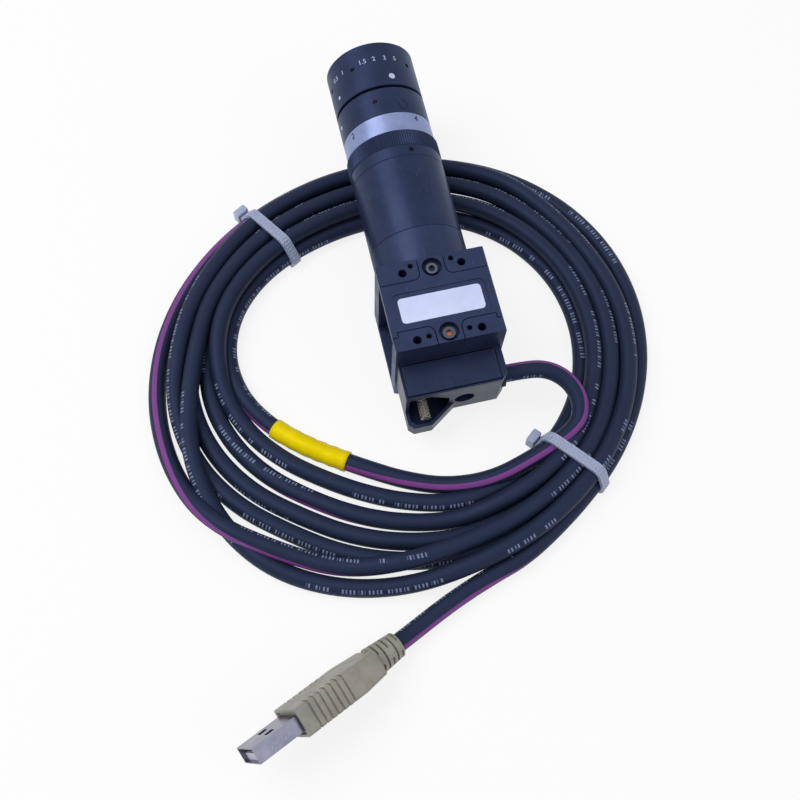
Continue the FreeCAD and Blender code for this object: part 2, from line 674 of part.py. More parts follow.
def plug_hood():
    """Right-angled hood: pocket, right bore, lid seat, gland bore, plug seat."""
    seat_z = HOOD_TOP + LID_PROUD - LID_T
    x0, x1, y0, y1 = lid_plan(LID_GAP)
    cuts = [
        block(x0, x1, y0, y1, seat_z, HOOD_TOP + 1),
        screw_pocket(),
        rod(RIGHT_BORE_R, (JACK_X[1], -HOOD_DEPTH - 1, CONN_Z), (0, 1, 0), HOOD_DEPTH + 1 + POCKET_FRONT_Y),
        rod(GLAND_R, (HOOD_RIGHT - GLAND_L, GLAND_Y, GLAND_Z), (1, 0, 0), GLAND_L + 1),
        rod(CABLE_R, (HOOD_RIGHT - 2 * GLAND_L, GLAND_Y, GLAND_Z), (1, 0, 0), GLAND_L + 1),
        block(CONN_X - SOCKET_BODY_W / 2, CONN_X + SOCKET_BODY_W / 2, -PLUG_BODY_T, 1,
              CONN_Z - SOCKET_BODY_H / 2, CONN_Z + SOCKET_BODY_H / 2),
    ]
    cuts += [rod(JACK_SHANK_R + JACK_FIT, (x, POCKET_FRONT_Y - 1, CONN_Z), (0, 1, 0), 2 - POCKET_FRONT_Y)
             for x in JACK_X]
    hood = hood_body()
    for tool in cuts:
        hood = hood.cut(tool)
    return hood.removeSplitter()


def hood_lid():
    """Lid that closes the hood's wiring space from above."""
    x0, x1, y0, y1 = lid_plan(0)
    lid = block(x0, x1, y0, y1, HOOD_TOP + LID_PROUD - LID_T, HOOD_TOP + LID_PROUD)
    rim = [e for e in lid.Edges if abs(e.BoundBox.ZMin - HOOD_TOP - LID_PROUD) < 1e-6]
    return lid.makeChamfer(0.25, rim)


def cable_bush():
    """Rubber bush round the cable in the hood's right side."""
    start, along = (HOOD_RIGHT - GLAND_L, GLAND_Y, GLAND_Z), (1, 0, 0)
    return rod(GLAND_R, start, along, GLAND_L).cut(rod(CABLE_R, start, along, GLAND_L))


def jackscrew(x, head_front_y):
    """Knurled and slotted jackscrew whose head's front is at head_front_y."""
    head = gear_like(JACK_KNURLS, JACK_HEAD_R, JACK_KNURL_DEPTH, JACK_HEAD_L)
    head = across(head, head_front_y - JACK_HEAD_L)
    head.translate(Vector(x, 0, CONN_Z))
    shank = rod(JACK_SHANK_R, (x, head_front_y, CONN_Z), (0, 1, 0), JACK_SHANK_L)
    back = head_front_y - JACK_HEAD_L
    slot = block(x - JACK_HEAD_R, x + JACK_HEAD_R, back - 1, back + JACK_SLOT_DEPTH,
                 CONN_Z - JACK_SLOT_W / 2, CONN_Z + JACK_SLOT_W / 2)
    slot.rotate(Vector(x, 0, CONN_Z), Vector(0, 1, 0), 25)
    return head.fuse(shank).cut(slot)


# ---------------------------------------------------------------- mount ring and tube
def mount_ring():
    """C-mount ring with a spigot in the front block and a filter seat."""
    return turned([(SPIGOT_BORE_R, FRONT_Y - SPIGOT_L), (SPIGOT_R, FRONT_Y - SPIGOT_L), (SPIGOT_R, FRONT_Y),
                   (TUBE_R - 0.3, FRONT_Y), (TUBE_R, FRONT_Y + 0.3), (TUBE_R, MOUNT_SEAT_Y - 0.15),
                   (TUBE_R - 0.15, MOUNT_SEAT_Y), (THREAD_R, MOUNT_SEAT_Y), (THREAD_R, MOUNT_SEAT_Y - THREAD_L),
                   (LIGHT_R, MOUNT_SEAT_Y - THREAD_L), (LIGHT_R, FRONT_Y + 1.0 + FILTER_T),
                   (FILTER_R, FRONT_Y + 1.0 + FILTER_T), (FILTER_R, FRONT_Y + 1.0), (SPIGOT_BORE_R, FRONT_Y + 1.0)])


def filter_glass():
    """Infrared cut filter, glued in the mount ring."""
    return rod(FILTER_R, (0, FRONT_Y + 1.0, 0), (0, 1, 0), FILTER_T)


def extension_tube():
    """Extension tube, male thread behind and female thread in front."""
    back, front = MOUNT_SEAT_Y, LENS_SEAT_Y
    return turned([(LIGHT_R, back - THREAD_L), (THREAD_R, back - THREAD_L), (THREAD_R, back),
                   (TUBE_R - 0.15, back), (TUBE_R, back + 0.15), (TUBE_R, front - 0.15), (TUBE_R - 0.15, front),
                   (THREAD_R, front), (THREAD_R, front - THREAD_L - 1), (LIGHT_R, front - THREAD_L - 1)])


# ---------------------------------------------------------------- lens
def ring_sector(r_in, r_out, y0, y1, a0, a1):
    """A piece of a ring between two angles, used to cut slots in tubes."""
    section = Part.Face(Part.makePolygon([Vector(0, y0, r_in), Vector(0, y0, r_out), Vector(0, y1, r_out),
                                          Vector(0, y1, r_in), Vector(0, y0, r_in)]))
    return around_axis(section, a0).revolve(Vector(0, 0, 0), Vector(0, 1, 0), a1 - a0)


def iris_ring_range():
    """Turn of the iris ring towards open and towards stopped down."""
    return -BLADE_REST / BLADE_RATIO, (BLADE_CLOSE - BLADE_REST) / BLADE_RATIO


def lens_barrel():
    """Fixed barrel: rear thread, collar and main tube with its two slots."""
    seat = LENS_SEAT_Y
    body = turned([(REAR_BORE_R, seat - THREAD_L), (THREAD_R, seat - THREAD_L), (THREAD_R, seat),
                   (TUBE_R - 0.15, seat), (TUBE_R, seat + 0.15), (TUBE_R, seat + COLLAR_L),
                   (BARREL_R, seat + COLLAR_L), (BARREL_R, BARREL_FRONT_Y), (BARREL_BORE_R, BARREL_FRONT_Y),
                   (BARREL_BORE_R, STEP_Y), (REAR_BORE_R, STEP_Y)])
    a0, a1 = iris_ring_range()
    spare = math.degrees((DRIVE_PIN_R + 0.3) / BARREL_BORE_R)
    pin_y = CAM_Y + CAM_T / 2
    pin_slot = ring_sector(BARREL_BORE_R - 1, BARREL_R + 1, pin_y - DRIVE_PIN_R - RUN_FIT,
                           pin_y + DRIVE_PIN_R + RUN_FIT,
                           DRIVE_PIN_ANGLE + a0 - spare, DRIVE_PIN_ANGLE + a1 + spare)
    guide_y = CELL_Y + GUIDE_PIN_BACK
    w = GUIDE_PIN_R + RUN_FIT
    guide_slot = block(-w, w, guide_y - GUIDE_TRAVEL_IN - GUIDE_PIN_R - 0.3,
                       guide_y + GUIDE_TRAVEL_OUT + GUIDE_PIN_R + 0.3, BARREL_BORE_R - 1, BARREL_R + 1)
    grub = grub_hole(COLLAR_GRUB_ANGLE, seat + COLLAR_L / 2, TUBE_R)
    return body.cut(Part.makeCompound([pin_slot, guide_slot, grub]))


def grub_hole(angle, y, outer_r):
    """Radial hole for a grub screw."""
    start = radial(angle, outer_r - GRUB_L - GRUB_SUNK, y)
    return rod(GRUB_R, start, radial(angle, 1, 0), GRUB_L + GRUB_SUNK + 1)


def grub(angle, y, outer_r):
    """Slotted grub screw, sunk below the ring's surface."""
    base = outer_r - GRUB_L - GRUB_SUNK
    body = rod(GRUB_R, (0, y, base), (0, 0, 1), GRUB_L)
    slot = block(-GRUB_R, GRUB_R, y - 0.15, y + 0.15, base + GRUB_L - 0.4, base + GRUB_L + 1)
    return around_axis(body.cut(slot), angle)


def iris_ring():
    """Knurled grip of the iris ring."""
    y = KNURL_Y
    bar = across(gear_like(KNURLS, KNURL_R, KNURL_DEPTH, KNURL_L), y)
    envelope = turned([(BARREL_R + RUN_FIT, y), (KNURL_R - 0.35, y), (KNURL_R + 0.01, y + 0.36),
                       (KNURL_R + 0.01, y + KNURL_L - 0.36), (KNURL_R - 0.35, y + KNURL_L),
                       (BARREL_R + RUN_FIT, y + KNURL_L)])
    return bar.common(envelope)


def scale_ring():
    """Bright aperture scale ring, which turns with the grip."""
    ring = tube(BARREL_R + RUN_FIT, RING_R, SCALE_Y, SCALE_Y + SCALE_L)
    return ring.cut(drive_pin())


def drive_pin():
    """Cylinder of the iris drive pin, from the cam ring into the scale ring."""
    y = CAM_Y + CAM_T / 2
    inner = PIVOT_CIRCLE_R + PIVOT_R + 0.15
    return rod(DRIVE_PIN_R, radial(DRIVE_PIN_ANGLE, inner, y), radial(DRIVE_PIN_ANGLE, 1, 0),
               RING_R - 0.6 - inner)


def index_sleeve():
    """Fixed sleeve between the iris scale and the focus ring."""
    ring = tube(BARREL_R, RING_R, SLEEVE_Y, SLEEVE_Y + SLEEVE_L, 0.2)
    return ring.cut(grub_hole(SLEEVE_GRUB_ANGLE, SLEEVE_Y + SLEEVE_GRUB_Y, RING_R))


def focus_ring():
    """Focus ring: helicoid bore behind, bearing on the cell, filter thread."""
    front = LENS_FRONT_Y
    seat = CELL_FRONT_Y + SIDE_GAP
    bearing = CELL_FLANGE_R + RUN_FIT
    ring = turned([(FOCUS_BORE_R, FOCUS_Y), (RING_R - 0.2, FOCUS_Y), (RING_R, FOCUS_Y + 0.2),
                   (RING_R, front - 0.5), (RING_R - 0.5, front), (FILTER_THREAD_R, front),
                   (FILTER_THREAD_R, seat + RETAINER_T), (RETAINER_R, seat + RETAINER_T),
                   (RETAINER_R, seat), (bearing, seat),
                   (bearing, RIB_Y + RIB_T), (RIB_R, RIB_Y + RIB_T), (RIB_R, RIB_Y), (FOCUS_BORE_R, RIB_Y)])
    holes = [grub_hole(a, front - FOCUS_GRUB_BACK, RING_R) for a in FOCUS_GRUB_ANGLES]
    return ring.cut(Part.makeCompound(holes))


def cell_retainer():
    """Threaded ring that keeps the cell in the focus ring."""
    y = CELL_FRONT_Y + SIDE_GAP
    ring = tube(RETAINER_BORE_R, RETAINER_R, y, y + RETAINER_T)
    slots = block(-RETAINER_R, RETAINER_R, y + RETAINER_T - 0.5, y + RETAINER_T + 1, -0.4, 0.4)
    keep = rod(RETAINER_BORE_R + 0.6, (0, y - 1, 0), (0, 1, 0), RETAINER_T + 2)
    return ring.cut(slots.common(keep))


def optics_cell():
    """Cell that holds the front elements and slides in the barrel."""
    seat_y = CELL_FRONT_Y - CELL_SEAT_L
    body = turned([(CELL_BORE_R, CELL_Y), (CELL_R, CELL_Y), (CELL_R, FLANGE_Y), (CELL_FLANGE_R, FLANGE_Y),
                   (CELL_FLANGE_R, CELL_FRONT_Y), (CELL_SEAT_R + 0.9, CELL_FRONT_Y),
                   (CELL_SEAT_R, CELL_FRONT_Y - 1.6), (CELL_SEAT_R, seat_y), (CELL_BORE_R, seat_y)])
    pin_hole = rod(GUIDE_PIN_R, (0, CELL_Y + GUIDE_PIN_BACK, CELL_R - 1.0), (0, 0, 1), 2)
    return body.cut(pin_hole)


def guide_pin():
    """Pin that keeps the cell from turning in the barrel."""
    return rod(GUIDE_PIN_R, (0, CELL_Y + GUIDE_PIN_BACK, CELL_R - 1.0), (0, 0, 1),
               BARREL_R - CELL_R + 1.0 - RUN_FIT)


def glass_disc(radius, y, thickness, bulge_back, bulge_front, bulge_r):
    """A lens element: a cylinder whose faces bulge over the radius bulge_r."""
    edges = [Part.makeLine(Vector(0, y - bulge_back, 0), Vector(0, y + thickness + bulge_front, 0))]
    start = Vector(0, y + thickness + bulge_front, 0)
    edges.append(Part.Arc(start, cap_point(bulge_r, y + thickness, bulge_front, 0.5),
                          Vector(bulge_r, y + thickness, 0)).toShape())
    if bulge_r < radius:
        edges.append(Part.makeLine(Vector(bulge_r, y + thickness, 0), Vector(radius, y + thickness, 0)))
    edges.append(Part.makeLine(Vector(radius, y + thickness, 0), Vector(radius, y, 0)))
    if bulge_r < radius:
        edges.append(Part.makeLine(Vector(radius, y, 0), Vector(bulge_r, y, 0)))
    edges.append(Part.Arc(Vector(bulge_r, y, 0), cap_point(bulge_r, y, -bulge_back, 0.5),
                          Vector(0, y - bulge_back, 0)).toShape())
    return face_of(edges).revolve(Vector(0, 0, 0), Vector(0, 1, 0), 360)


def cap_point(radius, y, bulge, share):
    """A point on the spherical cap of the given bulge, part of the way out."""
    sphere = (radius ** 2 + bulge ** 2) / (2 * abs(bulge))
    x = radius * share
    rise = math.sqrt(sphere ** 2 - x ** 2) - (sphere - abs(bulge))
    return Vector(x, y + math.copysign(rise, bulge), 0)


def front_glass():
    """Front lens element."""
    y = CELL_FRONT_Y - CELL_SEAT_L
    return glass_disc(CELL_SEAT_R, y, FRONT_GLASS_EDGE, 0.6, FRONT_GLASS_BULGE, CELL_BORE_R)


def front_glass_ring():
    """Threaded ring in front of the front element."""
    y = CELL_FRONT_Y - CELL_SEAT_L + FRONT_GLASS_EDGE
    return turned([(GLASS_RING_BORE_R, y), (CELL_SEAT_R, y), (CELL_SEAT_R, y + GLASS_RING_T),
                   (GLASS_RING_BORE_R + 0.5, y + GLASS_RING_T)])


def inner_glass():
    """Second lens element, at the rear of the cell."""
    return glass_disc(CELL_BORE_R, CELL_Y + 1.2, INNER_GLASS_T, INNER_GLASS_BULGE, INNER_GLASS_BULGE, CELL_BORE_R)


def rear_glass():
    """Rear lens element, in the barrel's narrow bore."""
    return glass_disc(REAR_BORE_R, LENS_SEAT_Y - THREAD_L + REAR_GLASS_BACK, REAR_GLASS_T, 0.4, 1.0, REAR_BORE_R)


# ---------------------------------------------------------------- iris
def blade_turn(point, pivot, degrees):
    """A flat point turned about a pivot."""
    a = math.radians(degrees)
    d = point.sub(pivot)
    return Vector(pivot.x + d.x * math.cos(a) - d.y * math.sin(a),
                  pivot.y + d.x * math.sin(a) + d.y * math.cos(a), 0)


def drive_pin_at(closed):
    """Flat place of a blade's drive pin when the blade is closed by some degrees."""
    pivot = flat_polar(PIVOT_CIRCLE_R, 0)
    return blade_turn(flat_polar(PIVOT_CIRCLE_R, PIVOT_TO_DRIVE), pivot, closed)


def flat_ring_sector(r_in, r_out, a0, a1):
    """A plane piece of a ring between two angles."""
    mid = (a0 + a1) / 2
    edges = [Part.Arc(flat_polar(r_out, a0), flat_polar(r_out, mid), flat_polar(r_out, a1)).toShape(),
             Part.makeLine(flat_polar(r_out, a1), flat_polar(r_in, a1)),
             Part.Arc(flat_polar(r_in, a1), flat_polar(r_in, mid), flat_polar(r_in, a0)).toShape(),
             Part.makeLine(flat_polar(r_in, a0), flat_polar(r_out, a0))]
    return face_of(edges)


def iris_blade(index):
    """Curved blade with a pivot pin behind and a drive pin in front."""
    level = BLADES_Y + index * BLADE_PITCH
    pivot = flat_polar(PIVOT_CIRCLE_R, 0)
    drive = flat_polar(PIVOT_CIRCLE_R, PIVOT_TO_DRIVE)
    up = Vector(0, 0, BLADE_T)
    band = flat_ring_sector(BLADE_IN_R, BLADE_OUT_R, -3, BLADE_SPAN).extrude(up)
    root = flat_ring_sector(BLADE_IN_R, PIVOT_CIRCLE_R, 0, PIVOT_TO_DRIVE).extrude(up)
    eyes = [Part.makeCylinder(BLADE_EYE_R, BLADE_T, p) for p in (pivot, drive)]
    pivot_l = level - IRIS_Y - 0.1
    drive_l = CAM_Y + CAM_T - 0.1 - level
    pivot_pin = Part.makeCylinder(PIVOT_R, pivot_l + BLADE_T / 2, Vector(pivot.x, pivot.y, -pivot_l))
    drive_pin = Part.makeCylinder(PIVOT_R, drive_l, drive)
    blade = band.fuse([root] + eyes + [pivot_pin, drive_pin])
    blade.rotate(pivot, Vector(0, 0, 1), BLADE_REST)
    blade.rotate(Vector(0, 0, 0), Vector(0, 0, 1), 360.0 * index / IRIS_BLADES)
    return across(blade.removeSplitter(), level)


def iris_base():
    """Fixed plate that carries the blades' pivots."""
    plate = Part.makeCylinder(BARREL_BORE_R, IRIS_BASE_T).cut(Part.makeCylinder(IRIS_OPEN_R, IRIS_BASE_T))
    holes = [Part.makeCylinder(PIVOT_R + RUN_FIT, IRIS_BASE_T, flat_polar(PIVOT_CIRCLE_R, 360.0 * i / IRIS_BLADES))
             for i in range(IRIS_BLADES)]
    return across(plate.cut(Part.makeCompound(holes)), IRIS_Y)


def cam_slot():
    """Curved slot that a drive pin follows, drawn where the ring stands at rest."""
    half = PIVOT_R + CAM_SLOT_FIT
    steps = 10
    path = []
    for i in range(steps + 1):
        closed = -1.5 + (BLADE_CLOSE + 3.0) * i / steps
        path.append(blade_turn(drive_pin_at(closed), Vector(0, 0, 0), -(closed - BLADE_REST) / BLADE_RATIO))
    left, right = [], []
    for i, p in enumerate(path):
        a, b = path[max(i - 1, 0)], path[min(i + 1, steps)]
        along = b.sub(a).normalize()
        side = Vector(-along.y, along.x, 0) * half
        left.append(p.add(side))
        right.append(p.sub(side))
    tip = path[-1].sub(path[-2]).normalize() * half
    heel = path[0].sub(path[1]).normalize() * half
    one, two = Part.BSplineCurve(), Part.BSplineCurve()
    one.interpolate(left)
    two.interpolate(right[::-1])
    edges = [one.toShape(), Part.Arc(left[-1], path[-1].add(tip), right[-1]).toShape(),
             two.toShape(), Part.Arc(right[0], path[0].add(heel), left[0]).toShape()]
    return face_of(edges).extrude(Vector(0, 0, CAM_T))


def iris_cam():
    """Ring with the blades' cam slots, turned by the drive pin."""
    ring = Part.makeCylinder(BARREL_BORE_R - 0.1, CAM_T).cut(Part.makeCylinder(IRIS_OPEN_R, CAM_T))
    slot = cam_slot()
    for i in range(IRIS_BLADES):
        one = slot.copy()
        one.rotate(Vector(0, 0, 0), Vector(0, 0, 1), 360.0 * i / IRIS_BLADES)
        ring = ring.cut(one)
    return across(ring, CAM_Y).cut(drive_pin())


# ---------------------------------------------------------------- cable
def route_wire(points):
    """Straight runs joined by tangent arcs, each as large as its runs allow."""
    edges, cursor, radii = [], points[0], []
    for before, here, after in zip(points, points[1:], points[2:]):
        into, out = here.sub(before), after.sub(here)
        shorter = min(into.Length, out.Length)
        into.normalize()
        out.normalize()
        turn = into.getAngle(out)
        back = 0.45 * shorter
        radii.append(back / math.tan(turn / 2))
        start, end = here.sub(into * back), here.add(out * back)
        bisector = out.sub(into).normalize()
        middle = here.add(bisector * (radii[-1] * (1 / math.cos(turn / 2) - 1)))
        edges += [Part.LineSegment(cursor, start).toShape(), Part.Arc(start, middle, end).toShape()]
        cursor = end
    edges.append(Part.LineSegment(cursor, points[-1]).toShape())
    return Part.Wire(edges), radii


def cable_tube(name, points):
    """A plain round tube along a route, with its size and bends printed."""
    wire, radii = route_wire(points)
    direction = points[1].sub(points[0])
    circle = Part.Wire(Part.makeCircle(CABLE_R, points[0], direction))
    tube_shape = wire.makePipeShell([circle], True, True)
    ideal = math.pi * CABLE_R ** 2 * wire.Length
    print(name, "length %.1f" % wire.Length, "volume ratio %.4f" % (tube_shape.Volume / ideal),
          "radii", ["%.1f" % r for r in radii])
    return tube_shape


def gland_mouth():
    """Where the cable leaves the hood, and its direction, in the final frame."""
    point = STANCE.multVec(Vector(HOOD_RIGHT, GLAND_Y, GLAND_Z))
    return point, STANCE.Rotation.multVec(Vector(1, 0, 0))


def lead_points():
    """Route of the lead from inside the gland into the coil."""
    mouth, out = gland_mouth()
    start = mouth.sub(out * (2 * GLAND_L))
    return [start, mouth.add(out * LEAD_FIRST_RUN)] + [Vector(*p) for p in LEAD_POINTS]


def plug_axes():
    """Directions of the USB plug: wide face, nose and narrow face."""
    h, p, r = (math.radians(a) for a in (PLUG_HEADING, PLUG_PITCH, PLUG_ROLL))
    nose = Vector(math.cos(p) * math.cos(h), math.cos(p) * math.sin(h), math.sin(p))
    level = Vector(math.sin(h), -math.cos(h), 0)
    upward = level.cross(nose)
    wide = level * math.cos(r) + upward * math.sin(r)
    return wide, nose, wide.cross(nose)


def plug_frame(height):
    """Placement of the USB plug; its local origin is the overmould's front."""
    x, y, z = plug_axes()
    ahead = y * (MOULD_L + RELIEF_L)
    at = Vector(PLUG_AT[0], PLUG_AT[1], height).add(ahead)
    return Matrix(x.x, y.x, z.x, at.x, x.y, y.y, z.y, at.y, x.z, y.z, z.z, at.z, 0, 0, 0, 1)


def plug_height():
    """Height of the cable's entry when the overmould just meets the floor."""
    return 0.02 - placed(usb_overmould(), plug_frame(0.0)).optimalBoundingBox(False, False).ZMin


def tail_points():
    """Route of the tail from inside the coil to the USB plug."""
    _, nose, _ = plug_axes()
    end = Vector(PLUG_AT[0], PLUG_AT[1], plug_height())
    near = end.sub(nose * TAIL_LAST_RUNS)
    level = Vector(nose.x, nose.y, nose.z / 2).normalize()
    return [Vector(*p) for p in TAIL_POINTS] + [near.sub(level * TAIL_LAST_RUNS), near, end]


def wound_radius(outline, angle):
    """Distance of the coil's outline from its middle at one angle."""
    mean, waves = outline
    return mean + sum(c * math.cos(n * angle) + s * math.sin(n * angle) for n, (c, s) in enumerate(waves, 1))


def wound_outline(outline, grow, z):
    """Closed smooth outline of the coil, outside or inside, as a face."""
    pins = []
    for k in range(COIL_PINS):
        angle = 2 * math.pi * k / COIL_PINS
        r = wound_radius(outline, angle) + grow
        pins.append(Vector(COIL_AT[0] + r * math.cos(angle), COIL_AT[1] + r * math.sin(angle), z))
    curve = Part.BSplineCurve()
    curve.interpolate(Points=pins, PeriodicFlag=True)
    return Part.Face(Part.Wire([curve.toShape()]))


def flat_edges(shape, z=None):
    """Closed level edges of a shape, all of them or those at one height."""
    level = [e for e in shape.Edges if e.BoundBox.ZLength < 1e-6]
    return level if z is None else [e for e in level if abs(e.BoundBox.ZMin - z) < 1e-6]


def coil_ring(inset=0.0):
    """Outer shape of the coil, or the same drawn in by inset."""
    height = COIL_H - 2 * inset
    disc = wound_outline(COIL_OUT, -inset, inset).extrude(Vector(0, 0, height))
    disc = disc.makeFillet(COIL_OUT_FILLET - inset / 2, flat_edges(disc))
    hole = wound_outline(COIL_IN, inset, -1).extrude(Vector(0, 0, COIL_H + 2))
    ring = disc.cut(hole)
    near = COIL_OUT[0] - COIL_OUT_FILLET - 8
    upper = [e for e in flat_edges(ring, inset + height)
             if e.BoundBox.XLength < 2 * near and e.BoundBox.YLength < 2 * near]
    ring = ring.makeFillet(COIL_IN_FILLET - inset / 2, upper)
    return ring


def tie_slab(angle):
    """Slice of space that one tie occupies."""
    slab = block(COIL_IN[0] * 0.4, COIL_OUT[0] + 10, -TIE_W / 2, TIE_W / 2, -1, COIL_H + 1)
    slab.rotate(Vector(0, 0, 0), Vector(0, 0, 1), angle)
    slab.translate(Vector(COIL_AT[0], COIL_AT[1], 0))
    return slab


def cable_tie(angle):
    """Nylon tie: a band round the bundle and its ribbed head outside."""
    slab = tie_slab(angle)
    band = coil_ring().common(slab).cut(coil_ring(TIE_T))
    edge = wound_radius(COIL_OUT, math.radians(angle))
    long, wide, tall = TIE_HEAD
    head = block(edge - 1, edge + tall, -wide / 2, wide / 2, TIE_HEAD_Z - long / 2, TIE_HEAD_Z + long / 2)
    tail = block(edge + 1.0, edge + 1.0 + TIE_T, -TIE_W / 2, TIE_W / 2,
                 TIE_HEAD_Z + long / 2 - 1, TIE_HEAD_Z + long / 2 + TIE_HOOK)
    for piece in (head, tail):
        piece.rotate(Vector(0, 0, 0), Vector(0, 0, 1), angle)
        piece.translate(Vector(COIL_AT[0], COIL_AT[1], 0))
    return band.fuse([head.cut(coil_ring()), tail]).removeSplitter()


def inner_strand(angle):
    """Middle of the coil's innermost strand on the floor, at an angle in degrees."""
    a = math.radians(angle)
    r = wound_radius(COIL_IN, a) + CABLE_R
    z = CABLE_R + SLEEVE_WALL + SLEEVE_GAP
    return Vector(COIL_AT[0] + r * math.cos(a), COIL_AT[1] + r * math.sin(a), z)


def marker_sleeve(radius=CABLE_R + SLEEVE_WALL):
    """Yellow sleeve round a stretch of the innermost strand."""
    a0, a1 = SLEEVE_ARC
    start, middle, end = (inner_strand(a) for a in (a0, (a0 + a1) / 2, a1))
    arc = Part.Arc(start, middle, end)
    along = arc.tangent(arc.FirstParameter)[0]
    wire = Part.Wire([arc.toShape()])
    outside, bore = (wire.makePipeShell([Part.Wire(Part.makeCircle(r, start, along))], True, True)
                     for r in (radius, CABLE_R))
    return outside.cut(bore)


def cord_coil(others):
    """The coil as one closed solid, with room for what is let into it."""
    ring = coil_ring()
    for other in others:
        ring = ring.cut(other)
    return max(ring.Solids, key=lambda s: s.Volume)


# ---------------------------------------------------------------- USB-A plug
def mould_station(y, width, height):
    """Rectangular section of the overmould at one place along it."""
    w, h = width / 2, height / 2
    return Part.makePolygon([Vector(-w, y, -h), Vector(w, y, -h), Vector(w, y, h), Vector(-w, y, h),
                             Vector(-w, y, -h)])


def usb_overmould():
    """Moulded plug body with finger grooves and a slotted strain relief."""
    front = block(-MOULD_W / 2, MOULD_W / 2, -MOULD_L + MOULD_TAPER_L, 0, -MOULD_H / 2, MOULD_H / 2)
    long_edges = [e for e in front.Edges if e.BoundBox.YLength > MOULD_L - MOULD_TAPER_L - 1e-6]
    front = front.makeFillet(MOULD_R, long_edges)
    taper = Part.makeLoft([mould_station(-MOULD_L, MOULD_REAR_W, MOULD_REAR_H),
                           mould_station(-MOULD_L + MOULD_TAPER_L, MOULD_W, MOULD_H)], True)
    slanted = [e for e in taper.Edges if e.BoundBox.YLength > MOULD_TAPER_L - 1e-6]
    taper = taper.makeFillet(MOULD_R * 0.98, slanted)
    relief = Part.makeCone(RELIEF_REAR_R, RELIEF_FRONT_R, RELIEF_L, Vector(0, -MOULD_L - RELIEF_L, 0), Vector(0, 1, 0))
    body = front.fuse([taper, relief])
    cuts = []
    for i in range(GRIP_GROOVES):
        y = -GRIP_START - i * GRIP_PITCH
        for side in (-1, 1):
            z0, z1 = MOULD_H / 2 - GRIP_WRAP, MOULD_H / 2 + 1
            outer = block(-MOULD_W / 2 - 1, MOULD_W / 2 + 1, y - GRIP_GROOVE_W, y, z0, z1)
            d = GRIP_GROOVE_DEPTH
            keep = block(-MOULD_W / 2 + d, MOULD_W / 2 - d, y - GRIP_GROOVE_W - 1, y + 1, z0 - 1, MOULD_H / 2 - d)
            groove = outer.cut(keep)
            cuts.append(groove if side > 0 else mirrored_z(groove))
    for i in range(RELIEF_SLOTS):
        y = -MOULD_L - 1.2 - i * (RELIEF_L - 2.2) / (RELIEF_SLOTS - 1)
        disc = rod(RELIEF_FRONT_R + 1, (0, y - RELIEF_SLOT_W, 0), (0, 1, 0), RELIEF_SLOT_W)
        core = rod(RELIEF_REAR_R - RELIEF_SLOT_DEPTH + 0.2, (0, y - 1, 0), (0, 1, 0), 2)
        bridge = 1.1 if i % 2 else 1.5
        web = block(-6, 6, y - 1, y + 1, -bridge, bridge) if i % 2 else block(-bridge, bridge, y - 1, y + 1, -6, 6)
        cuts.append(disc.cut(core).cut(web))
    m = MOUTH_RECESS
    cuts.append(block(-SHELL_T / 2 - MOUTH_RIM, SHELL_T / 2 + MOUTH_RIM, -m, 1,
                      -SHELL_W / 2 - MOUTH_RIM, SHELL_W / 2 + MOUTH_RIM))
    cuts.append(block(-SHELL_T / 2, SHELL_T / 2, -SHELL_ROOT, 1, -SHELL_W / 2, SHELL_W / 2))
    for tool in cuts:
        body = body.cut(tool)
    return body.removeSplitter()


def usb_shell():
    """Steel shell: a folded tube with two latch holes in each wide face."""
    outer = block(-SHELL_T / 2, SHELL_T / 2, -SHELL_ROOT, SHELL_L, -SHELL_W / 2, SHELL_W / 2)
    w = SHELL_WALL
    inner = block(-SHELL_T / 2 + w, SHELL_T / 2 - w, -SHELL_ROOT - 1, SHELL_L + 1, -SHELL_W / 2 + w, SHELL_W / 2 - w)
    shell = outer.cut(inner)
    for side in (-1, 1):
        z = side * SHELL_HOLE_SPACING / 2
        y = SHELL_L - SHELL_HOLE_AT
        shell = shell.cut(block(-SHELL_T, SHELL_T, y - SHELL_HOLE, y, z - SHELL_HOLE / 2, z + SHELL_HOLE / 2))
    return shell


def usb_tongue():
    """Insulating tongue against the far wide face."""
    w = SHELL_WALL
    return block(-SHELL_T / 2 + w, -SHELL_T / 2 + w + TONGUE_T, -SHELL_ROOT, SHELL_L - TONGUE_BACK,
                 -SHELL_W / 2 + w, SHELL_W / 2 - w)


def usb_contacts():
    """Stamped comb of contact strips on the tongue, joined at its root."""
    x = -SHELL_T / 2 + SHELL_WALL + TONGUE_T
    tip = SHELL_L - TONGUE_BACK - CONTACT_TIP
    reach = (CONTACTS - 1) / 2 * CONTACT_PITCH + CONTACT_W / 2
    strips = []
    for i in range(CONTACTS):
        z = (i - (CONTACTS - 1) / 2) * CONTACT_PITCH
        strips.append(block(x, x + CONTACT_T, -SHELL_ROOT, tip, z - CONTACT_W / 2, z + CONTACT_W / 2))
    root = block(x, x + CONTACT_T, -SHELL_ROOT, -SHELL_ROOT + CONTACT_W, -reach, reach)
    return root.fuse(strips).removeSplitter()


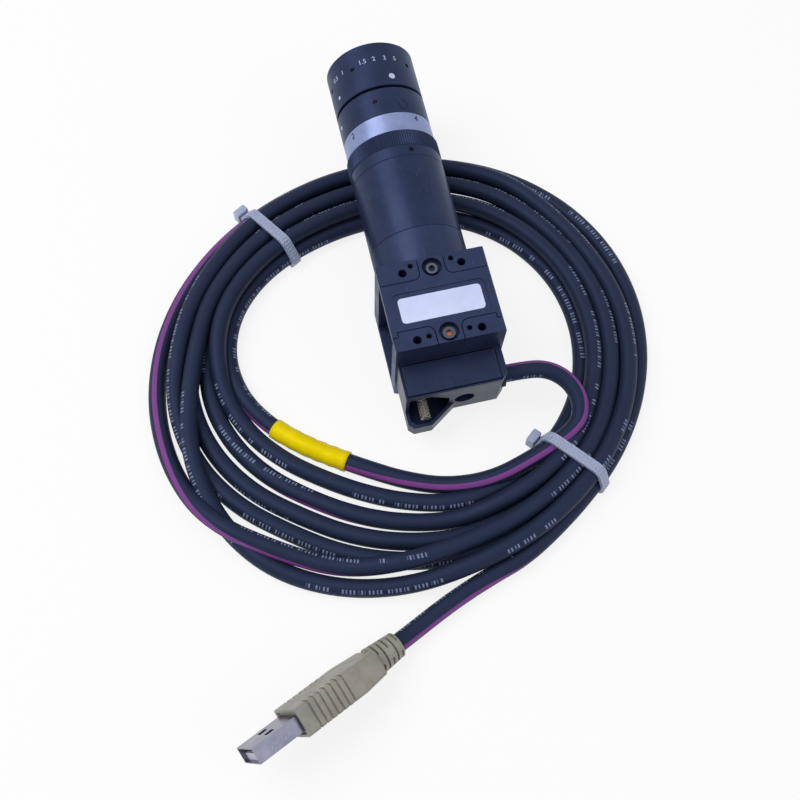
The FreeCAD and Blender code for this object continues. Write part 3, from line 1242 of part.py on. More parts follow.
# ---------------------------------------------------------------- assembly
def camera_pieces():
    """Every piece of the camera in the camera's own frame, by node name."""
    front_screw, rear_screw = FRONT_Y - FRONT_SCREW_Y, REAR_SCREW_Y
    pieces = {
        "front_block": front_block(),
        "rear_block": rear_block(),
        "core_tube": core_tube(),
        "top_cover": cover(True),
        "bottom_cover": cover(False),
        "top_screw_front": cover_screw(front_screw, True),
        "top_screw_rear": cover_screw(rear_screw, True),
        "bottom_screw_front": cover_screw(front_screw, False),
        "bottom_screw_rear": cover_screw(rear_screw, False),
        "label_plate": label(),
        "sensor_board": board(SENSOR_BOARD_Y),
        "image_sensor": image_sensor(),
        "main_board": board(MAIN_BOARD_Y),
        "board_link": board_link(),
        "d_socket": d_socket(),
        "d_plug": d_plug(),
        "plug_hood": plug_hood(),
        "hood_lid": hood_lid(),
        "cable_bush": cable_bush(),
        "jackscrew_left": jackscrew(JACK_X[0], POCKET_FRONT_Y - JACK_OUT),
        "jackscrew_right": jackscrew(JACK_X[1], POCKET_FRONT_Y - SIDE_GAP),
        "mount_ring": mount_ring(),
        "filter_glass": filter_glass(),
        "extension_tube": extension_tube(),
        "lens_barrel": lens_barrel(),
        "collar_grub": grub(COLLAR_GRUB_ANGLE, LENS_SEAT_Y + COLLAR_L / 2, TUBE_R),
        "iris_ring": iris_ring(),
        "iris_scale_ring": scale_ring(),
        "iris_drive_pin": drive_pin(),
        "iris_base": iris_base(),
        "iris_cam": iris_cam(),
        "index_sleeve": index_sleeve(),
        "sleeve_grub": grub(SLEEVE_GRUB_ANGLE, SLEEVE_Y + SLEEVE_GRUB_Y, RING_R),
        "focus_ring": focus_ring(),
        "cell_retainer": cell_retainer(),
        "optics_cell": optics_cell(),
        "guide_pin": guide_pin(),
        "front_glass": front_glass(),
        "front_glass_ring": front_glass_ring(),
        "inner_glass": inner_glass(),
        "rear_glass": rear_glass(),
    }
    for i in range(IRIS_BLADES):
        pieces["iris_blade_%d" % (i + 1)] = iris_blade(i)
    for i, angle in enumerate(FOCUS_GRUB_ANGLES):
        pieces["focus_grub_%d" % (i + 1)] = grub(angle, LENS_FRONT_Y - FOCUS_GRUB_BACK, RING_R)
    return pieces


def plug_pieces():
    """Every piece of the USB plug in the final frame, by node name."""
    frame = plug_frame(plug_height())
    own = {"usb_overmould": usb_overmould(), "usb_shell": usb_shell(), "usb_tongue": usb_tongue(),
           "usb_contacts": usb_contacts()}
    return {name: placed(shape, frame) for name, shape in own.items()}


def cable_pieces():
    """The cable's solids, the ties and the marker sleeve, by node name."""
    lead = cable_tube("cord_lead", lead_points())
    tail = cable_tube("cord_tail", tail_points())
    ties = [cable_tie(a) for a in TIE_ANGLES]
    sleeve = marker_sleeve()
    coil = cord_coil([sleeve] + ties)
    return {"cord_lead": lead, "cord_coil": coil, "cord_tail": tail, "marker_sleeve": sleeve,
            "cable_tie_1": ties[0], "cable_tie_2": ties[1]}


def main():
    """Build every piece and write one STEP file for each."""
    os.makedirs("parts", exist_ok=True)
    shapes = {name: placed(shape, STANCE.toMatrix()) for name, shape in camera_pieces().items()}
    shapes.update(cable_pieces())
    shapes.update(plug_pieces())
    for name, shape in shapes.items():
        solids = len(shape.Solids)
        if solids != 1 or not shape.isValid():
            print("LOOK AT", name, "solids", solids, "valid", shape.isValid())
        shape.exportStep("parts/%s.step" % name)
    print(len(shapes), "pieces; mouth", gland_mouth()[0], "stance", STANCE.Base)


main()
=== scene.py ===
"""Machine vision camera with its lens, plug hood, coiled USB cable and USB plug.

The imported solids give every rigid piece; this script lays the cable, its ties
and its sleeve, marks the lens rings and gives each piece its finish.
"""

import logging
import math
import random
from collections.abc import Callable
from dataclasses import dataclass
from enum import Enum

import bmesh
import bpy
from mathutils import Matrix, Vector


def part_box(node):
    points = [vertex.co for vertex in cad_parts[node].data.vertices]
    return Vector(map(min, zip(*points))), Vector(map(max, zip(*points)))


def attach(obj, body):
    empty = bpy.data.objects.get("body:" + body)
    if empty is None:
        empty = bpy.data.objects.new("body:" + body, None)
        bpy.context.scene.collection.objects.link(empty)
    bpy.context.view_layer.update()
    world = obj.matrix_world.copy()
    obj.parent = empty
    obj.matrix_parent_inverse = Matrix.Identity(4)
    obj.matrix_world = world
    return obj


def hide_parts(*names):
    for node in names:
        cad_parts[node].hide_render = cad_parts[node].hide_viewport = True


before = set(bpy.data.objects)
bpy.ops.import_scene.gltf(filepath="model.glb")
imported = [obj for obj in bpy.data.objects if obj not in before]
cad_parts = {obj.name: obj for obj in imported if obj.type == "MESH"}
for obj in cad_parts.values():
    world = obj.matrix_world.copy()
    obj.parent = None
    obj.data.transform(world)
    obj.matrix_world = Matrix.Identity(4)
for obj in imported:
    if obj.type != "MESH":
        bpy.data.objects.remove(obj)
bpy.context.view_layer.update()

LOG = logging.getLogger("camera_set")
MM = 0.001
LENS_LEAN_DEG = 6.44                       # the lens axis rises by this much towards its front
MIX_A, MIX_B, MIX_RESULT = 6, 7, 2         # a Mix node's two colours, and the colour that it gives
HAIR_CELLS = (3500.0, 260.0, 900.0)        # cells of noise to a metre: each is 0.29 by 3.8 by 1.1 mm
HAIR_TURN = (0.4, 0.7, 0.5)                # hairlines run aslant to all three axes
LATHE_MARK_MM = 50.0                       # length of a lathe mark round a turned part
ROLL_MARK_MM = 25.0                        # length of a roll mark on strip and sheet


# ---------------------------------------------------------------- small helpers
def linear(hex_colour: str) -> tuple[float, float, float, float]:
    """Turn an sRGB hex colour into linear light.

    Args:
        hex_colour: Six hex digits with a leading '#'.

    Returns:
        Linear red, green, blue and an alpha of 1.
    """
    parts = [int(hex_colour[i : i + 2], 16) / 255 for i in (1, 3, 5)]
    light = [c / 12.92 if c <= 0.04045 else ((c + 0.055) / 1.055) ** 2.4 for c in parts]
    return (light[0], light[1], light[2], 1.0)


def add_node(tree: bpy.types.NodeTree, kind: str, links: dict | None = None, inputs: dict | None = None,
             **settings: str | bool) -> bpy.types.Node:
    """Add one node, with its settings, socket values and links.

    Args:
        tree: Node tree that the node joins.
        kind: Blender's type name of the node.
        links: Input name or number to the output socket that feeds it.
        inputs: Input name or number to the value that it holds.
        settings: Properties of the node.

    Returns:
        The new node.
    """
    node = tree.nodes.new(kind)
    for name, value in settings.items():
        setattr(node, name, value)
    for name, value in (inputs or {}).items():
        node.inputs[name].default_value = value
    for name, source in (links or {}).items():
        tree.links.new(source, node.inputs[name])
    return node


def bare_material(name: str) -> tuple[bpy.types.Material, bpy.types.NodeTree]:
    """Start a material that has no nodes yet.

    Args:
        name: Name of the material.

    Returns:
        The material and its node tree.
    """
    material = bpy.data.materials.new(name)
    material.use_nodes = True
    material.node_tree.nodes.clear()
    return material, material.node_tree


def from_middle(tree: bpy.types.NodeTree, node: str) -> bpy.types.NodeSocket:
    """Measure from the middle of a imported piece.

    Args:
        tree: The material's nodes.
        node: Name of the piece.

    Returns:
        A socket with the way from the piece's middle, in metres.
    """
    low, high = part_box(node)
    middle = [(a + b) / 2 for a, b in zip(low, high)]
    place = add_node(tree, "ShaderNodeTexCoord").outputs["Object"]
    arm = add_node(tree, "ShaderNodeVectorMath", {0: place}, inputs={1: middle}, operation="SUBTRACT")
    return arm.outputs[0]


def shown_as_is(tree: bpy.types.NodeTree) -> bpy.types.NodeSocket:
    """Tell the rays that see the pale ground from those that carry its light.

    Args:
        tree: Nodes of the floor or of the sky.

    Returns:
        A socket that is 1 for the rays of the camera, of gloss and of glass.
    """
    rays = add_node(tree, "ShaderNodeLightPath").outputs
    plain = add_node(tree, "ShaderNodeMath", {0: rays["Is Camera Ray"], 1: rays["Is Glossy Ray"]},
                     operation="ADD")
    return add_node(tree, "ShaderNodeMath", {0: plain.outputs[0], 1: rays["Is Transmission Ray"]},
                    operation="ADD", use_clamp=True).outputs[0]


def mesh_of(work: bmesh.types.BMesh, name: str) -> bpy.types.Mesh:
    """Turn a mesh at work into a finished one.

    Args:
        work: The mesh at work, which is freed.
        name: Name of the finished mesh.

    Returns:
        The finished mesh.
    """
    mesh = bpy.data.meshes.new(name)
    work.to_mesh(mesh)
    work.free()
    return mesh


def new_piece(name: str, mesh: bpy.types.Mesh, body: str, material: bpy.types.Material) -> bpy.types.Object:
    """Put a mesh in the scene as a piece that rides on a body.

    Args:
        name: Name of the piece.
        mesh: Its mesh, in metres at its place.
        body: Body that it moves with.
        material: Its finish.

    Returns:
        The new object.
    """
    mesh.materials.clear()
    mesh.materials.append(material)
    piece = bpy.data.objects.new(name, mesh)
    bpy.context.scene.collection.objects.link(piece)
    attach(piece, body)
    LOG.info("%s: %d faces", name, len(mesh.polygons))
    return piece


def keyed(table: tuple[tuple[float, ...], ...], at: float) -> tuple[float, ...]:
    """Read a table of stations, easing from one to the next.

    Args:
        table: Rows whose first number is the station.
        at: Where to read it.

    Returns:
        The other numbers of the rows, eased.
    """
    if at <= table[0][0]:
        return table[0][1:]
    for low, high in zip(table, table[1:]):
        if at <= high[0]:
            share = (at - low[0]) / (high[0] - low[0])
            ease = share * share * (3 - 2 * share)
            return tuple(a + (b - a) * ease for a, b in zip(low[1:], high[1:]))
    return table[-1][1:]


# ---------------------------------------------------------------- finishes
class Grain(Enum):
    """How a surface was made, which sets its fine relief."""

    BLASTED = "blasted"
    TURNED = "turned"
    ROLLED = "rolled"
    MOULDED = "moulded"
    POLISHED = "polished"


@dataclass(frozen=True)
class Finish:
    """One real material with the relief that its making leaves."""

    name: str
    colour: str
    second: str                        # what the colour drifts to in patches
    roughness: float
    metallic: float = 0.0
    grain: Grain = Grain.MOULDED
    grain_mm: float = 0.35
    relief: float = 0.15               # how strongly the grain shows
    mottle_mm: float = 6.0
    scratches: float = 0.0             # how far a scratch takes on its own colour
    scratch_colour: str = "#8a93b5"
    coat: float = 0.0
    transmission: float = 0.0
    ior: float | None = None           # left alone on metals
    scatter: float = 0.0
    tint: str = "#ffffff"              # colour of the sheen

    def build(self) -> bpy.types.Material:
        """Make the material with its nodes.

        Returns:
            The finished material.
        """
        material, tree = bare_material(self.name)
        place = add_node(tree, "ShaderNodeTexCoord").outputs["Object"]
        colour = self.mottled(tree, place)
        if self.scratches:
            colour = self.scratched(tree, place, colour)
        shader = add_node(tree, "ShaderNodeBsdfPrincipled",
                          {"Base Color": colour, "Roughness": self.worn(tree, place),
                           "Normal": self.relieved(tree, place)},
                          inputs={"Metallic": self.metallic, "Coat Weight": self.coat,
                                  "Transmission Weight": self.transmission, "Subsurface Weight": self.scatter,
                                  "Specular Tint": linear(self.tint)})
        if self.ior is not None:
            shader.inputs["IOR"].default_value = self.ior
        add_node(tree, "ShaderNodeOutputMaterial", {"Surface": shader.outputs["BSDF"]})
        return material

    def mottled(self, tree: bpy.types.NodeTree, place: bpy.types.NodeSocket) -> bpy.types.NodeSocket:
        """Vary the colour a little over patches of a few millimetres.

        Args:
            tree: The material's nodes.
            place: Position on the object.

        Returns:
            The colour socket.
        """
        patches = add_node(tree, "ShaderNodeTexNoise", {"Vector": place},
                           inputs={"Scale": 1 / (self.mottle_mm * MM), "Detail": 4.0, "Roughness": 0.6})
        ramp = add_node(tree, "ShaderNodeMapRange", {"Value": patches.outputs["Fac"]},
                        inputs={"From Min": 0.35, "From Max": 0.65})
        mix = add_node(tree, "ShaderNodeMix", {"Factor": ramp.outputs["Result"]},
                       inputs={MIX_A: linear(self.colour), MIX_B: linear(self.second)}, data_type="RGBA")
        return mix.outputs[MIX_RESULT]

    def scratched(self, tree: bpy.types.NodeTree, place: bpy.types.NodeSocket,
                  colour: bpy.types.NodeSocket) -> bpy.types.NodeSocket:
        """Lay fine pale scratches and specks over a colour.

        Args:
            tree: The material's nodes.
            place: Position on the object.
            colour: Colour below the scratches.

        Returns:
            The colour with scratches.
        """
        # only the crests of the cells show, as hairlines about 0.1 mm wide and up to 3 mm long, which is
        # twice as wide as real ones so that they show
        turned = add_node(tree, "ShaderNodeMapping", {"Vector": place},
                          inputs={"Rotation": HAIR_TURN, "Scale": HAIR_CELLS})
        hair = add_node(tree, "ShaderNodeTexNoise", {"Vector": turned.outputs["Vector"]},
                        inputs={"Scale": 1.0, "Detail": 1.0})
        line = add_node(tree, "ShaderNodeMapRange", {"Value": hair.outputs["Fac"]},
                        inputs={"From Min": 0.72, "From Max": 0.78, "To Max": self.scratches})
        mix = add_node(tree, "ShaderNodeMix", {"Factor": line.outputs["Result"], MIX_A: colour},
                       inputs={MIX_B: linear(self.scratch_colour)}, data_type="RGBA")
        return mix.outputs[MIX_RESULT]

    def worn(self, tree: bpy.types.NodeTree, place: bpy.types.NodeSocket) -> bpy.types.NodeSocket:
        """Vary the roughness over handled patches of about 9 mm.

        Args:
            tree: The material's nodes.
            place: Position on the object.

        Returns:
            The roughness socket.
        """
        patch = add_node(tree, "ShaderNodeTexNoise", {"Vector": place},
                         inputs={"Scale": 1 / (9 * MM), "Detail": 3.0})
        span = add_node(tree, "ShaderNodeMapRange", {"Value": patch.outputs["Fac"]},
                        inputs={"From Min": 0.3, "From Max": 0.7, "To Min": self.roughness * 0.82,
                                "To Max": min(1.0, self.roughness * 1.15)})
        return span.outputs["Result"]

    def relieved(self, tree: bpy.types.NodeTree, place: bpy.types.NodeSocket) -> bpy.types.NodeSocket:
        """Make the fine relief that the surface's making leaves.

        Args:
            tree: The material's nodes.
            place: Position on the object.

        Returns:
            The normal socket.
        """
        fine, lathe, roll = (1 / (size * MM) for size in (self.grain_mm, LATHE_MARK_MM, ROLL_MARK_MM))
        stretch = {Grain.TURNED: (lathe, fine, lathe), Grain.ROLLED: (fine, roll, roll)}
        scale = stretch.get(self.grain, (fine, fine, fine))
        # lathe marks run round the lens axis
        turn = (-math.radians(LENS_LEAN_DEG) if self.grain is Grain.TURNED else 0.0, 0.0, 0.0)
        straight = add_node(tree, "ShaderNodeMapping", {"Vector": place}, inputs={"Rotation": turn})
        stretched = add_node(tree, "ShaderNodeMapping", {"Vector": straight.outputs["Vector"]},
                             inputs={"Scale": scale})
        noise = add_node(tree, "ShaderNodeTexNoise", {"Vector": stretched.outputs["Vector"]},
                         inputs={"Scale": 1.0, "Detail": 2.0})
        bump = add_node(tree, "ShaderNodeBump", {"Height": noise.outputs["Fac"]},
                        inputs={"Strength": self.relief, "Distance": 0.05 * MM})
        return bump.outputs["Normal"]


COOL = "#a8bdf4"      # the black dyes, nylon and jacket throw back bluish light

# anodised aluminium, bead blasted, then dyed black: satin, with a soft blue-grey sheen
BLACK_BLASTED = Finish("black_anodised_aluminium_blasted", "#252d47", "#2b3450", 0.42, 0.25, Grain.BLASTED,
                       0.18, 0.25, scratches=0.15, tint=COOL)
# aluminium, turned, then dyed black: darker and finer, with lathe rings and hairlines
BLACK_TURNED = Finish("black_anodised_aluminium_turned", "#1f2740", "#242d49", 0.36, 0.3, Grain.TURNED,
                      0.12, 0.2, scratches=0.15, tint=COOL)
# aluminium, turned and anodised clear: a pale satin band with lathe rings
SATIN_SILVER = Finish("clear_anodised_aluminium_turned", "#7d89b4", "#8995bf", 0.38, 0.75, Grain.TURNED,
                      0.1, 0.3)
# steel under black oxide: near black, with a dull metal gleam and bright scratches
BLACK_STEEL = Finish("black_oxide_steel_pressed", "#14161f", "#1c1f2b", 0.35, 0.7, Grain.BLASTED, 0.12, 0.2,
                     scratches=0.3)
# spring steel, rolled and blackened: smooth and dark, with faint marks along the strip
BLADE_STEEL = Finish("blackened_spring_steel_rolled", "#14161f", "#1b1e29", 0.3, 0.6, Grain.ROLLED, 0.1, 0.2)
# polyester film with a silver back: pale and flat, with a soft gleam
LABEL_FILM = Finish("silver_polyester_label_film", "#bfcaee", "#c9d3f2", 0.45, 0.3, Grain.ROLLED, 0.15, 0.12)
# glass fibre board under green lacquer: semi-gloss, with a trace of the weave
SOLDER_MASK = Finish("fibreglass_board_solder_masked", "#12352a", "#184434", 0.4, 0.0, Grain.ROLLED, 0.4, 0.3)
# fired ceramic: brown-grey and matt
SENSOR_CERAMIC = Finish("sensor_ceramic_fired", "#3a3630", "#46413a", 0.55, 0.0, Grain.BLASTED, 0.1, 0.2)
# sheet steel, zinc plated: grey metal with a fair gleam
CONNECTOR_ZINC = Finish("connector_shell_zinc_plated", "#a8acb8", "#8c909c", 0.3, 0.9, Grain.ROLLED, 0.1, 0.2)
# nylon moulded in a spark-eroded tool: an even fine grain with a bluish satin sheen
BLACK_NYLON = Finish("black_nylon_moulded", "#171d33", "#1d243c", 0.4, 0.0, Grain.MOULDED, 0.25, 0.35,
                     scratches=0.1, tint=COOL)
# rubber: the darkest and most matt of the blacks
BLACK_RUBBER = Finish("black_rubber_moulded", "#10131e", "#151a28", 0.7, 0.0, Grain.MOULDED, 0.3, 0.4)
# optical glass with a coating: dark and clear, with a violet cast and hard reflections
COATED_GLASS = Finish("optical_glass_coated", "#2a2440", "#241f3c", 0.03, 0.0, Grain.POLISHED, 1.0, 0.0,
                      coat=1.0, transmission=0.55, ior=1.6)
# soft vinyl, moulded: warm grey, a little milky, half matt
GREY_PVC = Finish("grey_vinyl_moulded", "#85847c", "#98968b", 0.5, 0.0, Grain.MOULDED, 0.3, 0.35,
                  scatter=0.05)
# steel, nickel plated: bright, with the scratches of many insertions
PLUG_STEEL = Finish("plug_shell_steel_nickel_plated", "#7d7f90", "#6b6c7b", 0.28, 0.9, Grain.ROLLED,
                    0.12, 0.25, scratches=0.5, scratch_colour="#c8c8d4")
# white nylon, moulded: plain and smooth
WHITE_PLASTIC = Finish("white_nylon_moulded", "#c9cad6", "#d6d7e0", 0.4, 0.0, Grain.MOULDED, 0.3, 0.1)
# gold over nickel: warm and bright
GOLD = Finish("contact_gold_plated", "#c79a44", "#b98a36", 0.25, 1.0, Grain.ROLLED, 0.1, 0.1)
# enamel pressed into engraved marks: flat and pale blue-white, never shiny
WHITE_PAINT = Finish("white_enamel_filled", "#c3caea", "#b4bcdc", 0.5, 0.0, Grain.MOULDED, 0.2, 0.15)
# vinyl shrunk on to the cable: strong yellow with a warm sheen over soft waves
YELLOW_VINYL = Finish("yellow_vinyl_shrunk", "#e2cb00", "#ecd60a", 0.4, 0.0, Grain.MOULDED, 0.8, 0.25,
                      tint="#ffd94a")

NODE_FINISHES: tuple[tuple[Finish, tuple[str, ...]], ...] = (
    (BLACK_BLASTED, ("front_block", "rear_block", "top_cover", "bottom_cover", "core_tube", "mount_ring")),
    (BLACK_TURNED, ("extension_tube", "lens_barrel", "iris_ring", "index_sleeve", "focus_ring",
                    "cell_retainer", "optics_cell", "front_glass_ring")),
    (SATIN_SILVER, ("iris_scale_ring",)),
    (BLACK_STEEL, ("bottom_screw_front", "bottom_screw_rear", "collar_grub", "sleeve_grub", "focus_grub_1",
                   "focus_grub_2", "focus_grub_3", "guide_pin", "iris_drive_pin")),
    (BLADE_STEEL, ("iris_base", "iris_cam", *(f"iris_blade_{i}" for i in range(1, 7)))),
    (LABEL_FILM, ("label_plate",)),
    (SOLDER_MASK, ("sensor_board", "main_board", "board_link")),
    (SENSOR_CERAMIC, ("image_sensor",)),
    (CONNECTOR_ZINC, ("d_socket", "d_plug")),
    (BLACK_NYLON, ("plug_hood", "hood_lid")),
    (BLACK_RUBBER, ("cable_bush",)),
    (COATED_GLASS, ("front_glass", "inner_glass", "rear_glass", "filter_glass")),
    (GREY_PVC, ("usb_overmould",)),
    (PLUG_STEEL, ("usb_shell",)),
    (WHITE_PLASTIC, ("usb_tongue",)),
    (GOLD, ("usb_contacts",)),
)


@dataclass(frozen=True)
class SocketScrewSteel:
    """Black oxide cap screw, paler in a ring round its socket or with locking paint in it."""

    node: str
    middle: str                      # colour in the socket
    rim: str                         # colour of the paler ring round it
    socket_mm: float
    rim_mm: float
    socket_edge_mm: float = 0.25     # over which the socket's colour turns into the rim's
    rim_edge_mm: float = 0.3         # over which the rim's colour turns into the head's
    reach_mm: float = 3.0            # further out, all is the head's colour

    def build(self) -> bpy.types.Material:
        """Make the material from the distance to the screw's own axis.

        Returns:
            The finished material.
        """
        material, tree = bare_material(f"black_oxide_steel_{self.node}")
        lean = math.radians(LENS_LEAN_DEG)
        cross = add_node(tree, "ShaderNodeVectorMath", {0: from_middle(tree, self.node)},
                         inputs={1: (0.0, -math.sin(lean), math.cos(lean))}, operation="CROSS_PRODUCT")
        off = add_node(tree, "ShaderNodeVectorMath", {0: cross.outputs[0]}, operation="LENGTH")
        share = add_node(tree, "ShaderNodeMapRange", {"Value": off.outputs["Value"]},
                         inputs={"From Max": self.reach_mm * MM})
        ramp = add_node(tree, "ShaderNodeValToRGB", {"Fac": share.outputs["Result"]})
        stops = ramp.color_ramp.elements
        stops[0].color = linear(self.middle)
        stops[1].position = (self.rim_mm + self.rim_edge_mm) / self.reach_mm
        stops[1].color = linear(BLACK_STEEL.colour)
        for at, colour in ((self.socket_mm, self.middle), (self.socket_mm + self.socket_edge_mm, self.rim),
                           (self.rim_mm, self.rim)):
            stops.new(at / self.reach_mm).color = linear(colour)
        shader = add_node(tree, "ShaderNodeBsdfPrincipled", {"Base Color": ramp.outputs["Color"]},
                          inputs={"Roughness": 0.4, "Metallic": 0.6})
        add_node(tree, "ShaderNodeOutputMaterial", {"Surface": shader.outputs["BSDF"]})
        return material


@dataclass(frozen=True)
class KnurledNickel:
    """Nickel-plated steel with a diamond knurl rolled round it: a painted highlight on the crests over
    painted shade in the furrows.
    """

    node: str
    # the crest colour is a painted highlight and the furrow colour is painted shade, both on the same nickel
    crest_painted_highlight: str = "#dedbd4"
    furrow_painted_shade: str = "#57554f"
    flutes: int = 20
    pitch_mm: float = 0.9
    depth_mm: float = 0.12

    def build(self) -> bpy.types.Material:
        """Make the material with its knurl wound round the screw's own axis.

        Returns:
            The finished material.
        """
        material, tree = bare_material(f"nickel_plated_steel_{self.node}")
        own = add_node(tree, "ShaderNodeVectorRotate", {"Vector": from_middle(tree, self.node)},
                       inputs={"Angle": -math.radians(LENS_LEAN_DEG)}, rotation_type="X_AXIS")
        parts = add_node(tree, "ShaderNodeSeparateXYZ", {"Vector": own.outputs[0]}).outputs
        way = add_node(tree, "ShaderNodeMath", {0: parts["X"], 1: parts["Z"]}, operation="ARCTAN2")
        flute = add_node(tree, "ShaderNodeMath", {0: way.outputs[0]}, inputs={1: self.flutes},
                         operation="MULTIPLY")
        climb = add_node(tree, "ShaderNodeMath", {0: parts["Y"]},
                         inputs={1: 2 * math.pi / (self.pitch_mm * MM)}, operation="MULTIPLY")
        waves = []
        for hand in ("ADD", "SUBTRACT"):
            turn = add_node(tree, "ShaderNodeMath", {0: flute.outputs[0], 1: climb.outputs[0]},
                            operation=hand)
            waves.append(add_node(tree, "ShaderNodeMath", {0: turn.outputs[0]}, operation="SINE").outputs[0])
        height = add_node(tree, "ShaderNodeMath", {0: waves[0], 1: waves[1]}, operation="MINIMUM")
        bump = add_node(tree, "ShaderNodeBump", {"Height": height.outputs[0]},
                        inputs={"Strength": 1.0, "Distance": self.depth_mm * MM})
        # painted shade in the furrows turning to a painted highlight on the crests, following the knurl's
        # height
        shade = add_node(tree, "ShaderNodeMapRange", {"Value": height.outputs[0]},
                         inputs={"From Min": -1.0, "From Max": 0.2})
        mix = add_node(tree, "ShaderNodeMix", {"Factor": shade.outputs["Result"]},
                       inputs={MIX_A: linear(self.furrow_painted_shade), MIX_B: linear(self.crest_painted_highlight)}, data_type="RGBA")
        shader = add_node(tree, "ShaderNodeBsdfPrincipled",
                          {"Base Color": mix.outputs[MIX_RESULT], "Normal": bump.outputs["Normal"]},
                          inputs={"Roughness": 0.3, "Metallic": 0.7})
        add_node(tree, "ShaderNodeOutputMaterial", {"Surface": shader.outputs["BSDF"]})
        return material


@dataclass(frozen=True)
class CableJacket:
    """Extruded polyurethane jacket: matt blue-black, with a violet stripe and worn pale print."""

    name: str = "black_polyurethane_extruded"
    colour: str = "#191f33"
    second: str = "#20273e"
    stripe: str = "#7a3f86"
    ink: str = "#8894b8"
    stripe_at: float = 0.5           # these four are shares of the way round
    stripe_width: float = 0.105
    ink_at: float = 0.17
    ink_width: float = 0.085
    edge: float = 0.008              # over which a band fades
    ink_strength: float = 0.7
    mottle_mm: float = 12.0
    grain_mm: float = 0.25
    grain_depth_mm: float = 0.04
    # pitch of the print's ticks, and how much of it is inked
    ticks_mm: tuple = ((2.5, 0.74), (1.05, 0.5))
    # cells of the print that are left out by chance: their length, and the share of them
    gaps_mm: tuple = ((2.5, 0.2), (19.0, 0.3))

    def build(self) -> bpy.types.Material:
        """Make the jacket's material.

        Returns:
            The finished material.
        """
        material, tree = bare_material(self.name)
        coords = add_node(tree, "ShaderNodeTexCoord").outputs
        uv = add_node(tree, "ShaderNodeSeparateXYZ", {"Vector": coords["UV"]})
        along, around = uv.outputs["X"], uv.outputs["Y"]
        colour = self.jacket_colour(tree, coords["Object"])
        for marked, paint in ((self.band(tree, around, self.stripe_at, self.stripe_width), self.stripe),
                              (self.dashes(tree, along, around), self.ink)):
            colour = add_node(tree, "ShaderNodeMix", {"Factor": marked, MIX_A: colour},
                              inputs={MIX_B: linear(paint)}, data_type="RGBA").outputs[MIX_RESULT]
        # extruded jackets are matt, with a fine even grain
        grain = add_node(tree, "ShaderNodeTexNoise", {"Vector": coords["Object"]},
                         inputs={"Scale": 1 / (self.grain_mm * MM), "Detail": 2.0})
        bump = add_node(tree, "ShaderNodeBump", {"Height": grain.outputs["Fac"]},
                        inputs={"Strength": 0.25, "Distance": self.grain_depth_mm * MM})
        rough = add_node(tree, "ShaderNodeMapRange", {"Value": grain.outputs["Fac"]},
                         inputs={"To Min": 0.46, "To Max": 0.6})
        shader = add_node(tree, "ShaderNodeBsdfPrincipled",
                          {"Base Color": colour, "Roughness": rough.outputs["Result"],
                           "Normal": bump.outputs["Normal"]},
                          inputs={"Specular IOR Level": 0.35, "Specular Tint": linear(COOL)})
        add_node(tree, "ShaderNodeOutputMaterial", {"Surface": shader.outputs["BSDF"]})
        return material

    def jacket_colour(self, tree: bpy.types.NodeTree, place: bpy.types.NodeSocket) -> bpy.types.NodeSocket:
        """Vary the jacket's colour in wide patches.

        Args:
            tree: The material's nodes.
            place: Position on the object.

        Returns:
            The colour socket.
        """
        noise = add_node(tree, "ShaderNodeTexNoise", {"Vector": place},
                         inputs={"Scale": 1 / (self.mottle_mm * MM), "Detail": 3.0})
        mix = add_node(tree, "ShaderNodeMix", {"Factor": noise.outputs["Fac"]},
                       inputs={MIX_A: linear(self.colour), MIX_B: linear(self.second)}, data_type="RGBA")
        return mix.outputs[MIX_RESULT]

    def band(self, tree: bpy.types.NodeTree, around: bpy.types.NodeSocket, middle: float,
             width: float) -> bpy.types.NodeSocket:
        """Mark a band that runs along the cable.

        Args:
            tree: The material's nodes.
            around: Share of the way round the cable.
            middle: Where the band lies.
            width: Its width, as a share of the way round.

        Returns:
            A socket that is 1 on the band.
        """
        off = add_node(tree, "ShaderNodeMath", {0: around}, inputs={1: middle}, operation="SUBTRACT")
        away = add_node(tree, "ShaderNodeMath", {0: off.outputs[0]}, operation="ABSOLUTE")
        on = add_node(tree, "ShaderNodeMapRange", {"Value": away.outputs[0]},
                      inputs={"From Min": width / 2, "From Max": width / 2 - self.edge})
        return on.outputs["Result"]

    def dashes(self, tree: bpy.types.NodeTree, along: bpy.types.NodeSocket,
               around: bpy.types.NodeSocket) -> bpy.types.NodeSocket:
        """Print plain ticks in groups, as length marks on a cable, and no letters.

        Args:
            tree: The material's nodes.
            along: Length along the cable in metres.
            around: Share of the way round the cable.

        Returns:
            A socket that is 1 on the ink.
        """
        inked = [self.band(tree, around, self.ink_at, self.ink_width)]
        for pitch_mm, filled in self.ticks_mm:
            at = add_node(tree, "ShaderNodeMath", {0: along}, inputs={1: 1 / (pitch_mm * MM)},
                          operation="MULTIPLY")
            part = add_node(tree, "ShaderNodeMath", {0: at.outputs[0]}, operation="FRACT")
            bar = add_node(tree, "ShaderNodeMath", {0: part.outputs[0]}, inputs={1: filled},
                           operation="LESS_THAN")
            inked.append(bar.outputs[0])
        for cell_mm, left_out in self.gaps_mm:
            at = add_node(tree, "ShaderNodeMath", {0: along}, inputs={1: 1 / (cell_mm * MM)},
                          operation="MULTIPLY")
            cell = add_node(tree, "ShaderNodeMath", {0: at.outputs[0]}, operation="FLOOR")
            draw = add_node(tree, "ShaderNodeTexWhiteNoise", {"W": cell.outputs[0]}, noise_dimensions="1D")
            gate = add_node(tree, "ShaderNodeMath", {0: draw.outputs["Value"]}, inputs={1: left_out},
                            operation="GREATER_THAN")
            inked.append(gate.outputs[0])
        total = inked[0]
        for mark in inked[1:]:
            total = add_node(tree, "ShaderNodeMath", {0: total, 1: mark}, operation="MULTIPLY").outputs[0]
        return add_node(tree, "ShaderNodeMath", {0: total}, inputs={1: self.ink_strength},
                        operation="MULTIPLY").outputs[0]


